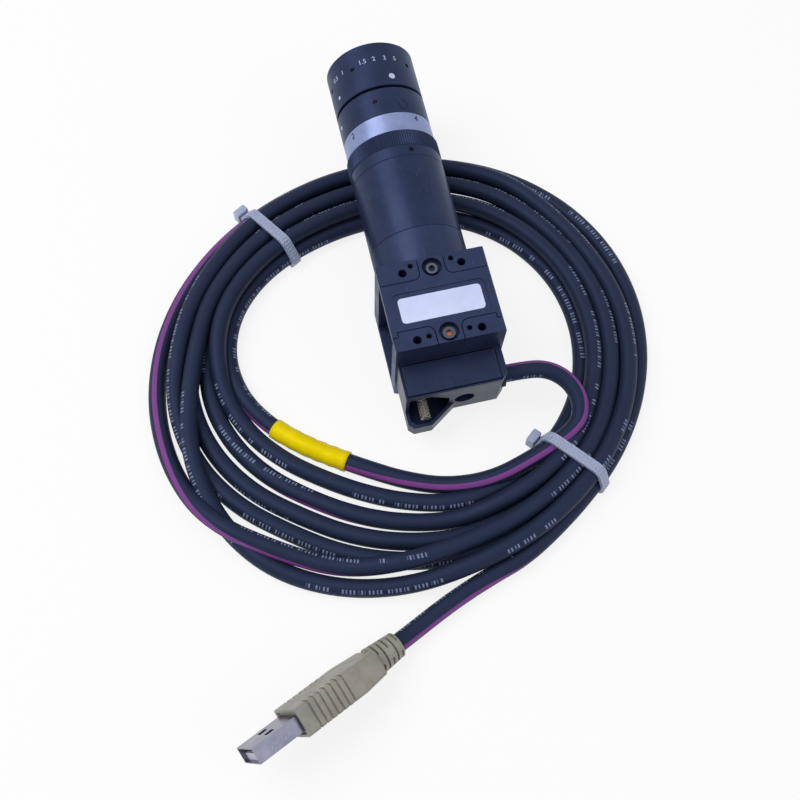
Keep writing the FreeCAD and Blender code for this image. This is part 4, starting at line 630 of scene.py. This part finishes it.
@dataclass(frozen=True)
class TieNylon:
    """Natural nylon, moulded: milky and a little clear, with ladder ribs between smooth rims."""

    name: str = "natural_nylon_moulded"
    colour: str = "#9aa6c6"
    second: str = "#adb8d6"
    rib_mm: float = 1.15
    rib_depth_mm: float = 0.12
    rib_edges: tuple[float, float] = (0.32, 0.28)   # ribs fade between these shares of the width
    cloud_mm: float = 4.0
    scatter_m: float = 0.001

    def build(self) -> bpy.types.Material:
        """Make the tie's material.

        Returns:
            The finished material.
        """
        material, tree = bare_material(self.name)
        coords = add_node(tree, "ShaderNodeTexCoord").outputs
        uv = add_node(tree, "ShaderNodeSeparateXYZ", {"Vector": coords["UV"]}).outputs
        turns = add_node(tree, "ShaderNodeMath", {0: uv["X"]}, inputs={1: 2 * math.pi / (self.rib_mm * MM)},
                         operation="MULTIPLY")
        wave = add_node(tree, "ShaderNodeMath", {0: turns.outputs[0]}, operation="SINE")
        off = add_node(tree, "ShaderNodeMath", {0: uv["Y"]}, inputs={1: 0.5}, operation="SUBTRACT")
        away = add_node(tree, "ShaderNodeMath", {0: off.outputs[0]}, operation="ABSOLUTE")
        inside = add_node(tree, "ShaderNodeMapRange", {"Value": away.outputs[0]},
                          inputs={"From Min": self.rib_edges[0], "From Max": self.rib_edges[1]})
        height = add_node(tree, "ShaderNodeMath", {0: wave.outputs[0], 1: inside.outputs["Result"]},
                          operation="MULTIPLY")
        bump = add_node(tree, "ShaderNodeBump", {"Height": height.outputs[0]},
                        inputs={"Strength": 0.9, "Distance": self.rib_depth_mm * MM})
        cloud = add_node(tree, "ShaderNodeTexNoise", {"Vector": coords["Object"]},
                         inputs={"Scale": 1 / (self.cloud_mm * MM), "Detail": 2.0})
        mix = add_node(tree, "ShaderNodeMix", {"Factor": cloud.outputs["Fac"]},
                       inputs={MIX_A: linear(self.colour), MIX_B: linear(self.second)}, data_type="RGBA")
        shader = add_node(tree, "ShaderNodeBsdfPrincipled",
                          {"Base Color": mix.outputs[MIX_RESULT], "Normal": bump.outputs["Normal"]},
                          inputs={"Roughness": 0.32, "Transmission Weight": 0.12, "Subsurface Weight": 0.15,
                                  "Subsurface Scale": self.scatter_m})
        add_node(tree, "ShaderNodeOutputMaterial", {"Surface": shader.outputs["BSDF"]})
        return material


# ---------------------------------------------------------------- the cable
UPPER_TIE_DEG, LOWER_TIE_DEG = 122.5, -50.5      # places of the ties, anticlockwise from the coil's right


@dataclass
class CoiledCable:
    """The camera's own cable: lead, seven hand-wound turns and tail."""

    diameter_mm: float = 5.3
    length_m: float = 2.88
    middle: tuple[float, float] = (-10.0, -31.2)     # of the coil, in millimetres
    # outline of the bundle in millimetres: mean radius, then the cosine and sine of one, two and three
    # waves a turn
    outside: tuple = (76.35, ((-1.3, -1.3), (1.75, 3.15)))
    inside: tuple = (48.0, ((3.1, 3.6), (3.0, -3.1), (-1.7, 1.05)))
    first_angle: float = LOWER_TIE_DEG   # the turns are counted from here
    step_deg: float = 15.0
    step_offset_deg: float = -8.0    # the stations of the turns lie this far before whole steps
    wobble_mm: tuple[float, float] = (0.15, 0.4)
    radii_mm: tuple[float, float] = (20.0, 90.0)     # the turns lie between these radii
    sides: int = 20
    smoothing: int = 9               # pieces of the smooth line to each control point
    exit_mm: tuple[float, float, float] = (15.0, -51.5374, 15.6668)      # where it leaves the gland
    lead: tuple = ((8.0, -51.5374, 15.6668), (20.6, -51.5374, 15.6668), (28.6, -52.4, 14.7),
                   (34.4, -57.2, 12.9), (36.2, -64.4, 11.0), (32.8, -71.0, 9.2))
    tail: tuple = ((9.5, -102.8, 3.2), (-3.6, -106.6, 2.9), (-15.2, -110.8, 2.8),
                   (-26.913, -116.235, 2.949), (-30.094, -117.837, 3.426), (-33.2, -119.4, 4.358))
    # for each turn: degrees past the lower tie, share of the way from the inner strand to the outer one,
    # and height of the strand's middle in millimetres
    turns: tuple = (
        ((0, 0.02, 7.9), (20, 0.02, 5.0), (37, 0.0, 2.7), (75, 0.0, 3.2), (112, 0.0, 3.2), (125, 0.0, 2.7),
         (360, 0.0, 2.7)),
        ((0, 0.0, 2.7), (20, 0.14, 2.7), (37, 0.2, 2.7), (60, 0.2, 2.7), (80, 0.195, 2.7), (100, 0.2, 2.7),
         (120, 0.19, 2.7), (140, 0.12, 7.6), (165, 0.13, 7.5), (190, 0.165, 7.1), (255, 0.165, 7.1),
         (285, 0.125, 7.3), (310, 0.14, 7.2), (335, 0.2, 7.4), (360, 0.33, 7.9)),
        ((0, 0.33, 7.9), (20, 0.36, 6.6), (37, 0.4, 2.7), (60, 0.4, 2.7), (80, 0.38, 2.7),
         (100, 0.39, 2.7), (120, 0.38, 2.7), (140, 0.3, 2.7), (165, 0.3, 2.7), (190, 0.33, 2.7),
         (255, 0.33, 2.7), (285, 0.25, 2.7), (310, 0.28, 2.7), (335, 0.33, 2.7), (360, 0.33, 2.7)),
        ((0, 0.33, 2.7), (20, 0.55, 2.7), (37, 0.6, 2.7), (60, 0.57, 2.7), (80, 0.535, 2.7),
         (100, 0.57, 2.7), (120, 0.6, 2.7), (140, 0.6, 2.7), (165, 0.6, 2.7), (190, 0.66, 2.7),
         (255, 0.66, 2.7), (285, 0.5, 2.7), (310, 0.57, 2.7), (335, 0.66, 2.7), (360, 0.66, 2.7)),
        ((0, 0.66, 2.7), (20, 0.76, 2.7), (37, 0.8, 2.7), (60, 0.735, 2.7), (80, 0.69, 2.7),
         (100, 0.74, 2.7), (120, 0.8, 2.7), (130, 0.78, 5.0), (140, 0.7, 7.6), (165, 0.7, 7.6),
         (190, 0.83, 7.1), (255, 0.83, 7.1), (285, 0.6, 7.3), (310, 0.7, 7.2), (335, 0.83, 7.3),
         (360, 0.9, 7.6)),
        ((0, 0.9, 7.6), (20, 0.93, 7.2), (37, 0.94, 6.2), (50, 0.98, 4.2), (60, 1.0, 2.7), (80, 1.0, 2.7),
         (95, 0.93, 2.9), (104, 0.87, 6.8), (112, 0.79, 8.0), (120, 0.68, 7.9), (130, 0.54, 7.8),
         (140, 0.42, 7.6), (165, 0.42, 7.5), (190, 0.5, 7.1), (255, 0.5, 7.1), (285, 0.365, 7.3),
         (310, 0.42, 7.2), (335, 0.5, 7.3), (360, 0.62, 7.9)),
        ((0, 0.62, 7.9), (20, 0.66, 7.6), (37, 0.7, 7.3), (48, 0.77, 8.0), (60, 0.87, 5.6),
         (70, 0.86, 4.6), (80, 0.86, 4.6), (88, 0.93, 7.9), (95, 0.99, 8.0), (104, 1.0, 4.2),
         (112, 1.0, 2.7), (360, 1.0, 2.7)),
    )
    # angle of the violet stripe from the top of the cable towards its left, by degrees past the lower tie
    stripe: tuple = ((-60, 62), (-20, 38), (0, 28), (37, 36), (80, 60), (120, 75), (187, 45), (235, 30),
                     (310, 100), (345, 150), (397, 172), (757, 150), (800, 80), (840, 140), (1080, 200),
                     (1440, 168), (2160, 160), (2197, 140), (2240, 75), (2285, 10), (2347, 20), (2400, 60),
                     (2450, 120), (2505, 150), (2535, 110), (2560, 62))

    def outline(self, waves: tuple, angle_deg: float) -> float:
        """Radius of the bundle's inner or outer outline at an angle, in millimetres."""
        a = math.radians(angle_deg)
        return waves[0] + sum(c * math.cos(n * a) + s * math.sin(n * a)
                              for n, (c, s) in enumerate(waves[1], 1))

    def strand_radius(self, angle_deg: float, share: float) -> float:
        """Work out the radius of a strand's middle.

        Args:
            angle_deg: Angle round the coil.
            share: Share of the way from the bundle's inner strand to its outer one.

        Returns:
            The radius in millimetres.
        """
        r = self.diameter_mm / 2
        low, high = self.outline(self.inside, angle_deg) + r, self.outline(self.outside, angle_deg) - r
        return low + share * (high - low)

    def coil_points(self) -> list[Vector]:
        """Control points of the turns, in millimetres.

        Returns:
            One point for each step round the coil.
        """
        chance = random.Random(5)
        # each turn's own wobble: its size, where it starts and its waves to a turn
        waves = [(chance.uniform(*self.wobble_mm), chance.uniform(0, 6.3), chance.randint(2, 4))
                 for _ in self.turns]
        # the spline runs inside its control points by this share
        bulge = 4 / (3 + math.cos(math.radians(self.step_deg)))
        points = []
        steps = int(round(360 * len(self.turns) / self.step_deg))
        for i in range(1, steps + 2):
            past = i * self.step_deg + self.step_offset_deg
            turn = min(int(past // 360), len(self.turns) - 1)
            local = past - 360 * turn
            share, height = keyed(self.turns[turn], min(local, 360.0))
            angle = self.first_angle - past
            size, phase, count = waves[turn]
            # the tie holds the strands still, and they are free opposite it
            free = math.sin(math.radians(min(max(local, 0.0), 360.0) / 2)) ** 2
            wobble = size * free * math.sin(count * math.radians(local) + phase)
            r = self.strand_radius(angle, share) * bulge + wobble
            a = math.radians(angle)
            points.append(Vector((self.middle[0] + r * math.cos(a), self.middle[1] + r * math.sin(a),
                                  height)))
        return points

    def route(self) -> list[Vector]:
        """All control points from the gland to the plug, in millimetres."""
        return [Vector(p) for p in self.lead] + self.coil_points() + [Vector(p) for p in self.tail]

    def centreline(self) -> list[Vector]:
        """Points along the smooth route, in metres.

        Returns:
            The points of the spline, as Blender gives them.
        """
        curve = bpy.data.curves.new("cable_route", "CURVE")
        curve.dimensions = "3D"
        curve.resolution_u = self.smoothing
        spline = curve.splines.new("NURBS")
        points = self.route()
        spline.points.add(len(points) - 1)
        for slot, point in zip(spline.points, points):
            slot.co = (*(point * MM), 1.0)
        spline.order_u = 3
        spline.use_endpoint_u = True
        holder = bpy.data.objects.new("cable_route", curve)
        mesh = bpy.data.meshes.new_from_object(holder)
        line = [v.co.copy() for v in mesh.vertices]
        bpy.data.meshes.remove(mesh)
        bpy.data.objects.remove(holder)
        bpy.data.curves.remove(curve)
        return line

    def turned_past(self, line: list[Vector]) -> list[float]:
        """Work out how far round the coil each point of the centreline is.

        Args:
            line: Centreline in metres.

        Returns:
            Degrees past the lower tie at each point.
        """
        past, last = [], self.first_angle
        for p in line:
            now = math.degrees(math.atan2(p.y / MM - self.middle[1], p.x / MM - self.middle[0]))
            step = last - now
            past.append((past[-1] if past else 0.0) + step - 360 * round(step / 360))
            last = now
        return past

    def tube(self, line: list[Vector], radii: list[float], angles: list[float]) -> bpy.types.Mesh:
        """Skin a tube along a line, with length and way round as its UV map.

        Args:
            line: Centreline in metres.
            radii: Radius at each point, in metres.
            angles: Turn of the UV map's middle from the top of the tube, in degrees.

        Returns:
            The tube's mesh.
        """
        work = bmesh.new()
        uv = work.loops.layers.uv.new("length_and_way_round")
        rings, lengths, length = [], [], 0.0
        for i, p in enumerate(line):
            ahead = (line[min(i + 1, len(line) - 1)] - line[max(i - 1, 0)]).normalized()
            side = Vector((0, 0, 1)).cross(ahead).normalized()
            up = ahead.cross(side)
            if i:
                length += (p - line[i - 1]).length
            lengths.append(length)
            ring = []
            for j in range(self.sides):
                a = math.radians(angles[i] + 180 + 360 * j / self.sides)
                ring.append(work.verts.new(p + (up * math.cos(a) + side * math.sin(a)) * radii[i]))
            rings.append(ring)
        for i in range(len(rings) - 1):
            for j in range(self.sides):
                k = (j + 1) % self.sides
                face = work.faces.new((rings[i][j], rings[i][k], rings[i + 1][k], rings[i + 1][j]))
                face.smooth = True
                ways = (j / self.sides, (j + 1) / self.sides, (j + 1) / self.sides, j / self.sides)
                spans = (lengths[i], lengths[i], lengths[i + 1], lengths[i + 1])
                for loop, way, span in zip(face.loops, ways, spans):
                    loop[uv].uv = (span, way)
        work.faces.new(rings[0])
        work.faces.new(list(reversed(rings[-1])))
        bmesh.ops.recalc_face_normals(work, faces=work.faces)
        return mesh_of(work, "tube")

    def crossings(self, line: list[Vector], angle_deg: float) -> list[tuple[float, float]]:
        """Find where the strands pass one angle of the coil.

        Args:
            line: Centreline in metres.
            angle_deg: Angle round the coil.

        Returns:
            Radius and height of each strand there, in millimetres.
        """
        a = math.radians(angle_deg)
        out, across = Vector((math.cos(a), math.sin(a))), Vector((-math.sin(a), math.cos(a)))
        nearest, furthest = self.radii_mm
        arms = [Vector((p.x / MM - self.middle[0], p.y / MM - self.middle[1])) for p in line]
        found = []
        for p, q, u, v in zip(line, line[1:], arms, arms[1:]):
            du, dv = u.dot(across), v.dot(across)
            if du * dv <= 0 and du != dv and u.dot(out) > nearest and u.length < furthest:
                share = du / (du - dv)
                found.append(((u + (v - u) * share).dot(out), (p.z + (q.z - p.z) * share) / MM))
        return found


@dataclass
class CableTie:
    """A nylon tie pulled round the strands, with its ribbed head."""

    number: int
    angle_deg: float
    head_outside: bool
    head_mm: tuple[float, float, float] = (2.8, 4.4, 4.6)   # thickness, height and width
    head_height_mm: float = 3.0                             # its middle above the floor
    head_bevel_mm: float = 0.5
    width_mm: float = 3.2
    thickness_mm: float = 1.0
    off_strands_mm: float = 0.05
    off_floor_mm: float = 0.02
    seam_mm: float = 0.5                                    # length of the band's last face
    sharp_rad: float = 0.6                                  # edges that turn by more stay crisp
    steps: int = 240

    def mesh(self, cable: CoiledCable, line: list[Vector]) -> bpy.types.Mesh:
        """Wrap the band round the strands that pass it and add its head.

        Args:
            cable: The cable that it holds.
            line: The cable's centreline in metres.

        Returns:
            The tie's mesh.
        """
        discs = cable.crossings(line, self.angle_deg)
        r = cable.diameter_mm / 2 + self.off_strands_mm
        work = bmesh.new()
        uv = work.loops.layers.uv.new("length_and_width")
        a = math.radians(self.angle_deg)
        out, across = Vector((math.cos(a), math.sin(a), 0)), Vector((-math.sin(a), math.cos(a), 0))
        centre = Vector((cable.middle[0], cable.middle[1], 0))

        def at(radius: float, height: float, shift: float) -> Vector:
            """Place a point of the tie's section."""
            up = Vector((0, 0, max(height, self.off_floor_mm)))
            return (centre + out * radius + across * shift + up) * MM

        rings, length, last = [], 0.0, None
        w = self.width_mm / 2
        for i in range(self.steps):
            b = 2 * math.pi * i / self.steps
            d = (math.cos(b), math.sin(b))
            x, z = max(discs, key=lambda c: c[0] * d[0] + c[1] * d[1])
            inner = (x + r * d[0], z + r * d[1])
            outer = (x + (r + self.thickness_mm) * d[0], z + (r + self.thickness_mm) * d[1])
            if last is not None:
                length += math.dist(outer, last)
            last = outer
            ring = [work.verts.new(at(*inner, -w)), work.verts.new(at(*outer, -w)),
                    work.verts.new(at(*outer, w)), work.verts.new(at(*inner, w))]
            rings.append((ring, length * MM))
        for (ring, s0), (after, s1) in zip(rings, rings[1:] + rings[:1]):
            s1 = s1 if s1 > s0 else s0 + self.seam_mm * MM
            for j in range(4):
                k = (j + 1) % 4
                face = work.faces.new((ring[j], ring[k], after[k], after[j]))
                face.smooth = True
                for loop, (s, v) in zip(face.loops, ((s0, j == 2), (s0, k == 2), (s1, k == 2), (s1, j == 2))):
                    loop[uv].uv = (s, 1.0 if v else 0.0) if j == 1 else (s, 0.0)
        far = max(x for x, _ in discs) + r if self.head_outside else min(x for x, _ in discs) - r
        sign = 1 if self.head_outside else -1
        self.head(work, at, far + sign * (self.thickness_mm + self.head_mm[0] / 2))
        for edge in work.edges:
            edge.smooth = edge.calc_face_angle(0.0) < self.sharp_rad
        bmesh.ops.recalc_face_normals(work, faces=work.faces)
        return mesh_of(work, "tie")

    def head(self, work: bmesh.types.BMesh, at: Callable[[float, float, float], Vector],
             radius: float) -> None:
        """Add the tie's head, a small block with bevelled edges.

        Args:
            work: Mesh that it joins.
            at: Function that places a point from radius, height and shift.
            radius: Middle of the head along the radius, in millimetres.
        """
        before = set(work.verts)
        bmesh.ops.create_cube(work, size=1.0)
        added = [v for v in work.verts if v not in before]
        thickness, height, width = self.head_mm
        for v in added:
            v.co = Vector((v.co.x * thickness, v.co.y * width, v.co.z * height))
        edges = list({e for v in added for e in v.link_edges})
        bmesh.ops.bevel(work, geom=edges, offset=self.head_bevel_mm, segments=3, profile=0.5, affect="EDGES")
        for v in work.verts:
            if v not in before:
                v.co = at(radius + v.co.x, self.head_height_mm + v.co.z, v.co.y)


@dataclass
class MarkerSleeve:
    """Shrunk vinyl sleeve on the cable's first turn, a little wavy, with a lip at either end."""

    first_deg: float = 76.5          # degrees past the lower tie
    last_deg: float = 110.5
    off_cable_mm: float = 0.42
    lip_mm: float = 0.1
    wave_mm: float = 0.07
    wave_step: float = 1.9           # radians of the wave from one ring to the next
    jitter_mm: float = 0.04
    seam_deg: float = 90.0           # turn of its UV map from the top of the cable

    def mesh(self, cable: CoiledCable, line: list[Vector], past: list[float]) -> bpy.types.Mesh:
        """Skin the sleeve round its stretch of the cable.

        Args:
            cable: The cable that it marks.
            line: The cable's centreline in metres.
            past: How far round the coil each point of the centreline is.

        Returns:
            The sleeve's mesh.
        """
        stretch = [p for p, s in zip(line, past) if self.first_deg <= s <= self.last_deg]
        chance = random.Random(3)
        radii = []
        for i in range(len(stretch)):
            lip = self.lip_mm if i in (0, len(stretch) - 1) else 0.0
            wave = self.wave_mm * math.sin(i * self.wave_step)
            jitter = chance.uniform(-self.jitter_mm, self.jitter_mm)
            radii.append(cable.diameter_mm / 2 * MM + (self.off_cable_mm + lip + wave + jitter) * MM)
        return cable.tube(stretch, radii, [self.seam_deg] * len(stretch))


def lay_cable(materials: dict[str, bpy.types.Material]) -> None:
    """Args:
        materials: Finishes by name.
    """
    cable = CoiledCable()
    line = cable.centreline()
    past = cable.turned_past(line)
    angles = [keyed(cable.stripe, s)[0] for s in past]
    radius = cable.diameter_mm / 2 * MM
    length = sum((q - p).length for p, q in zip(line, line[1:]))
    LOG.info("cable: %d points, %.3f m, %.2f turns", len(line), length, (past[-1] - past[0]) / 360)
    piece = new_piece("coiled_cable", cable.tube(line, [radius] * len(line), angles), "camera",
                      materials["jacket"])
    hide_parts("cord_lead", "cord_coil", "cord_tail")

    for tie in (CableTie(1, UPPER_TIE_DEG, True), CableTie(2, LOWER_TIE_DEG, False)):
        band = new_piece(f"nylon_tie_{tie.number}", tie.mesh(cable, line), "camera", materials["tie"])
        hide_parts(f"cable_tie_{tie.number}")

    sleeve = new_piece("yellow_marker_sleeve", MarkerSleeve().mesh(cable, line, past), "camera",
                       materials["sleeve"])
    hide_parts("marker_sleeve")

    tuple(v * MM for v in cable.exit_mm)
    [tuple(p) for p in line]


# ---------------------------------------------------------------- marks on the lens
@dataclass
class LensMarks:
    """Filled marks and plain numbers on the lens rings, bent round the barrel."""

    base_mm: tuple[float, float, float] = (0.0, -45.134508, 16.892728)   # the lens axis at the housing's back
    lift_mm: float = 0.05            # marks stand this far off their ring
    reach_mm: float = 0.05           # how near along the lens counts as the same place
    facet_mm: float = 0.5            # longest side of a digit's faces
    type_size: float = 1.38          # size of the type whose digits are 1 high
    disc_sides: int = 32
    disc_rings: int = 4
    # what each number says, and its place round the lens in degrees from the top towards the right
    focus_numbers: tuple = (("0.5", -60), ("1", -45), ("1.5", -15), ("2", 0), ("3", 14), ("5", 28),
                            ("10", 66))
    iris_numbers: tuple = (("2", -54.5), ("4", 36.3), ("8", 92.0), ("16", 150.0))

    def to_world(self, x: float, y: float, z: float) -> Vector:
        """Turn a point of the lens frame, in millimetres, into metres in the scene."""
        t = math.radians(LENS_LEAN_DEG)
        return Vector((x, self.base_mm[1] + y * math.cos(t) - z * math.sin(t),
                       self.base_mm[2] + y * math.sin(t) + z * math.cos(t))) * MM

    def to_lens(self, p: Vector) -> Vector:
        """Turn a point of the scene, in metres, into the lens frame in millimetres."""
        t = math.radians(LENS_LEAN_DEG)
        y, z = p.y / MM - self.base_mm[1], p.z / MM - self.base_mm[2]
        return Vector((p.x / MM, y * math.cos(t) + z * math.sin(t), -y * math.sin(t) + z * math.cos(t)))

    def radius_at(self, node: str, y: float) -> float:
        """Measure a turned piece's outer radius at one place along the lens.

        Args:
            node: Name of the piece.
            y: Place along the lens, in millimetres.

        Returns:
            The radius in millimetres.
        """
        best = 0.0
        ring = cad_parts[node].data
        for edge in ring.edges:
            p, q = (self.to_lens(ring.vertices[i].co) for i in edge.vertices)
            if min(p.y, q.y) - self.reach_mm <= y <= max(p.y, q.y) + self.reach_mm:
                share = 0.5 if abs(q.y - p.y) < 1e-6 else (y - p.y) / (q.y - p.y)
                m = p + (q - p) * min(max(share, 0.0), 1.0)
                best = max(best, math.hypot(m.x, m.z))
        return best

    def wrap(self, flat: bpy.types.Mesh, radius: float, angle_deg: float, y: float) -> None:
        """Bend a flat mesh, in millimetres, round the lens.

        Args:
            flat: Mesh whose X runs round the lens and whose Y runs along it.
            radius: Radius of the ring that it lies on.
            angle_deg: Its place from the top of the lens towards the right.
            y: Its place along the lens.
        """
        r = radius + self.lift_mm
        for v in flat.vertices:
            a = math.radians(angle_deg) + v.co.x / r
            v.co = self.to_world(r * math.sin(a), y + v.co.y, r * math.cos(a))

    def disc(self, diameter: float, hole: float = 0.0) -> bpy.types.Mesh:
        """Make a flat disc or ring out of rings of faces.

        Args:
            diameter: Outer diameter in millimetres.
            hole: Diameter of the hole, or 0 for none.

        Returns:
            The mesh, in millimetres.
        """
        work = bmesh.new()
        turns = [2 * math.pi * i / self.disc_sides for i in range(self.disc_sides)]
        rows = []
        for k in range(self.disc_rings + 1):
            r = hole / 2 + (diameter - hole) / 2 * k / self.disc_rings
            rows.append([work.verts.new((r * math.cos(a), r * math.sin(a), 0)) for a in turns])
        for low, high in zip(rows, rows[1:]):
            for i in range(self.disc_sides):
                j = (i + 1) % self.disc_sides
                work.faces.new((low[i], high[i], high[j], low[j]))
        bmesh.ops.remove_doubles(work, verts=work.verts, dist=1e-5)
        return mesh_of(work, "disc")

    def number(self, text: str, height: float) -> bpy.types.Mesh:
        """Make a plain number as a flat mesh.

        Args:
            text: Digits and a point.
            height: Height of the digits in millimetres.

        Returns:
            The mesh in millimetres, centred on its middle.
        """
        curve = bpy.data.curves.new("number", "FONT")
        curve.body = text
        curve.size = height * self.type_size
        curve.align_x = "CENTER"
        curve.align_y = "CENTER"
        curve.resolution_u = 4
        holder = bpy.data.objects.new("number", curve)
        mesh = bpy.data.meshes.new_from_object(holder)
        bpy.data.objects.remove(holder)
        bpy.data.curves.remove(curve)
        work = bmesh.new()
        work.from_mesh(mesh)
        bmesh.ops.triangulate(work, faces=work.faces)
        for _ in range(2):
            long = [e for e in work.edges if e.calc_length() > self.facet_mm]
            bmesh.ops.subdivide_edges(work, edges=long, cuts=1)
        work.to_mesh(mesh)
        work.free()
        return mesh

    def place(self, name: str, flat: bpy.types.Mesh, node: str, body: str, angle: float, y: float,
              material: bpy.types.Material) -> None:
        """Bend one mark on to its ring, at an angle and a place along the lens, and let it ride with it."""
        self.wrap(flat, self.radius_at(node, y), angle, y)
        new_piece(name, flat, body, material)

    def build(self, white: bpy.types.Material, black: bpy.types.Material) -> None:
        """Make all marks, each on its ring at an angle and a place along the lens.

        Args:
            white: Paint of the marks on black rings.
            black: Paint of the numbers on the silver ring.
        """
        self.place("focus_dot", self.disc(2.0), "focus_ring", "focus", 17.6, 92.0, white)
        self.place("focus_line", self.disc(1.1), "focus_ring", "focus", -61.5, 92.2, white)
        for i, (text, angle) in enumerate(self.focus_numbers):
            self.place(f"focus_number_{i}", self.number(text, 1.6), "focus_ring", "focus", angle, 98.8, white)
        for i, (text, angle) in enumerate(self.iris_numbers):
            self.place(f"iris_number_{i}", self.number(text, 2.1), "iris_scale_ring", "iris", angle, 76.6,
                       black)
        self.place("index_ring", self.disc(3.2, 2.8), "index_sleeve", "camera", 22.8, 81.4, black)
        self.place("index_dot", self.disc(1.3), "index_sleeve", "camera", -75.8, 83.4, white)


# ---------------------------------------------------------------- studio
@dataclass
class Studio:
    """Pale floor, even light and the camera that looks down on the set."""

    eye_mm: tuple[float, float, float] = (-47.7, -187.0, 297.8)
    aim_mm: tuple[float, float, float] = (-6.9, -12.5, -69.3)
    roll_deg: float = -0.2
    view_deg: float = 40.64
    film_mm: float = 36.0
    clip_m: float = 0.01
    sky: float = 0.44                # light of the sky on the set
    sky_shown: float = 0.9           # and as it is seen
    # name, place in metres, size in metres and watts of each lamp
    lamps: tuple = (("key_lamp", (-0.5, 0.1, 0.9), 0.7, 6.0), ("fill_lamp", (0.6, -0.5, 0.8), 0.8, 1.8))
    floor_half_m: float = 3.0
    floor_drop_m: float = 0.0002     # just under the set, so that nothing flickers in it
    paper: str = "#f7f7f8"
    white: str = "#ffffff"
    floor_shown: float = 0.82        # share of white where the floor is seen; the rest keeps shadows

    def build(self) -> None:
        """Set up the floor, the light and the camera."""
        self.floor()
        self.light()
        self.camera()

    def floor(self) -> None:
        """Lay a pale floor that keeps the shadows."""
        work = bmesh.new()
        bmesh.ops.create_grid(work, x_segments=1, y_segments=1, size=self.floor_half_m)
        mesh = mesh_of(work, "pale_floor")
        floor = bpy.data.objects.new("pale_floor", mesh)
        floor.location.z = -self.floor_drop_m
        bpy.context.scene.collection.objects.link(floor)
        material, tree = bare_material("white_paper_matt")
        paper = add_node(tree, "ShaderNodeBsdfDiffuse", inputs={"Color": linear(self.paper)})
        glow = add_node(tree, "ShaderNodeEmission", inputs={"Color": linear(self.white), "Strength": 1.0})
        share = add_node(tree, "ShaderNodeMath", {0: shown_as_is(tree)}, inputs={1: self.floor_shown},
                         operation="MULTIPLY")
        mix = add_node(tree, "ShaderNodeMixShader",
                       {0: share.outputs[0], 1: paper.outputs[0], 2: glow.outputs[0]})
        add_node(tree, "ShaderNodeOutputMaterial", {"Surface": mix.outputs[0]})
        mesh.materials.append(material)

    def light(self) -> None:
        """Hang an even sky, one wide soft lamp and a weaker one across from it."""
        world = bpy.data.worlds.new("even_light")
        world.use_nodes = True
        tree = world.node_tree
        tree.nodes.clear()
        strength = add_node(tree, "ShaderNodeMapRange", {"Value": shown_as_is(tree)},
                            inputs={"To Min": self.sky, "To Max": self.sky_shown})
        back = add_node(tree, "ShaderNodeBackground", {"Strength": strength.outputs["Result"]},
                        inputs={"Color": linear(self.white)})
        add_node(tree, "ShaderNodeOutputWorld", {"Surface": back.outputs[0]})
        bpy.context.scene.world = world
        for name, at, size, watts in self.lamps:
            lamp = bpy.data.lights.new(name, "AREA")
            lamp.size = size
            lamp.energy = watts
            holder = bpy.data.objects.new(name, lamp)
            holder.location = at
            holder.rotation_euler = (-Vector(at)).to_track_quat("-Z", "Y").to_euler()
            bpy.context.scene.collection.objects.link(holder)

    def camera(self) -> None:
        """Place the camera and have its colours shown plainly."""
        eye, aim = Vector(self.eye_mm) * MM, Vector(self.aim_mm) * MM
        ahead = (aim - eye).normalized()
        right = ahead.cross(Vector((0, 0, 1))).normalized()
        up = right.cross(ahead)
        roll = math.radians(self.roll_deg)
        right, up = right * math.cos(roll) + up * math.sin(roll), up * math.cos(roll) - right * math.sin(roll)
        data = bpy.data.cameras.new("view_camera")
        data.sensor_width = self.film_mm
        data.lens = self.film_mm / 2 / math.tan(math.radians(self.view_deg / 2))
        data.clip_start = self.clip_m
        holder = bpy.data.objects.new("view_camera", data)
        holder.matrix_world = Matrix(((right.x, up.x, -ahead.x, eye.x), (right.y, up.y, -ahead.y, eye.y),
                                      (right.z, up.z, -ahead.z, eye.z), (0, 0, 0, 1)))
        bpy.context.scene.collection.objects.link(holder)
        bpy.context.scene.camera = holder
        bpy.context.scene.view_settings.view_transform = "Standard"


# ---------------------------------------------------------------- the set
def dress_nodes() -> None:
    """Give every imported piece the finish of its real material."""
    done = set()
    for finish, nodes in NODE_FINISHES:
        material = finish.build()
        for node in nodes:
            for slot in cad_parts[node].material_slots:
                slot.material = material
            done.add(node)
    for screw in (SocketScrewSteel("top_screw_front", "#20242e", "#566072", 0.9, 1.5),
                  SocketScrewSteel("top_screw_rear", "#c8662a", "#4a4f5e", 0.6, 1.7),
                  KnurledNickel("jackscrew_left"), KnurledNickel("jackscrew_right")):
        material = screw.build()
        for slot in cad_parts[screw.node].material_slots:
            slot.material = material
        done.add(screw.node)
    LOG.info("finished %d packed pieces, left: %s", len(done), sorted(set(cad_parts) - done))


def main() -> None:
    """Build the set."""
    logging.basicConfig(level=logging.INFO, format="%(name)s: %(message)s")
    materials = {"jacket": CableJacket().build(), "tie": TieNylon().build(), "sleeve": YELLOW_VINYL.build(),
                 "white": WHITE_PAINT.build(), "black": BLACK_STEEL.build()}
    Studio().build()
    lay_cable(materials)
    dress_nodes()
    LensMarks().build(materials["white"], materials["black"])


if __name__ == "__main__":
    main()
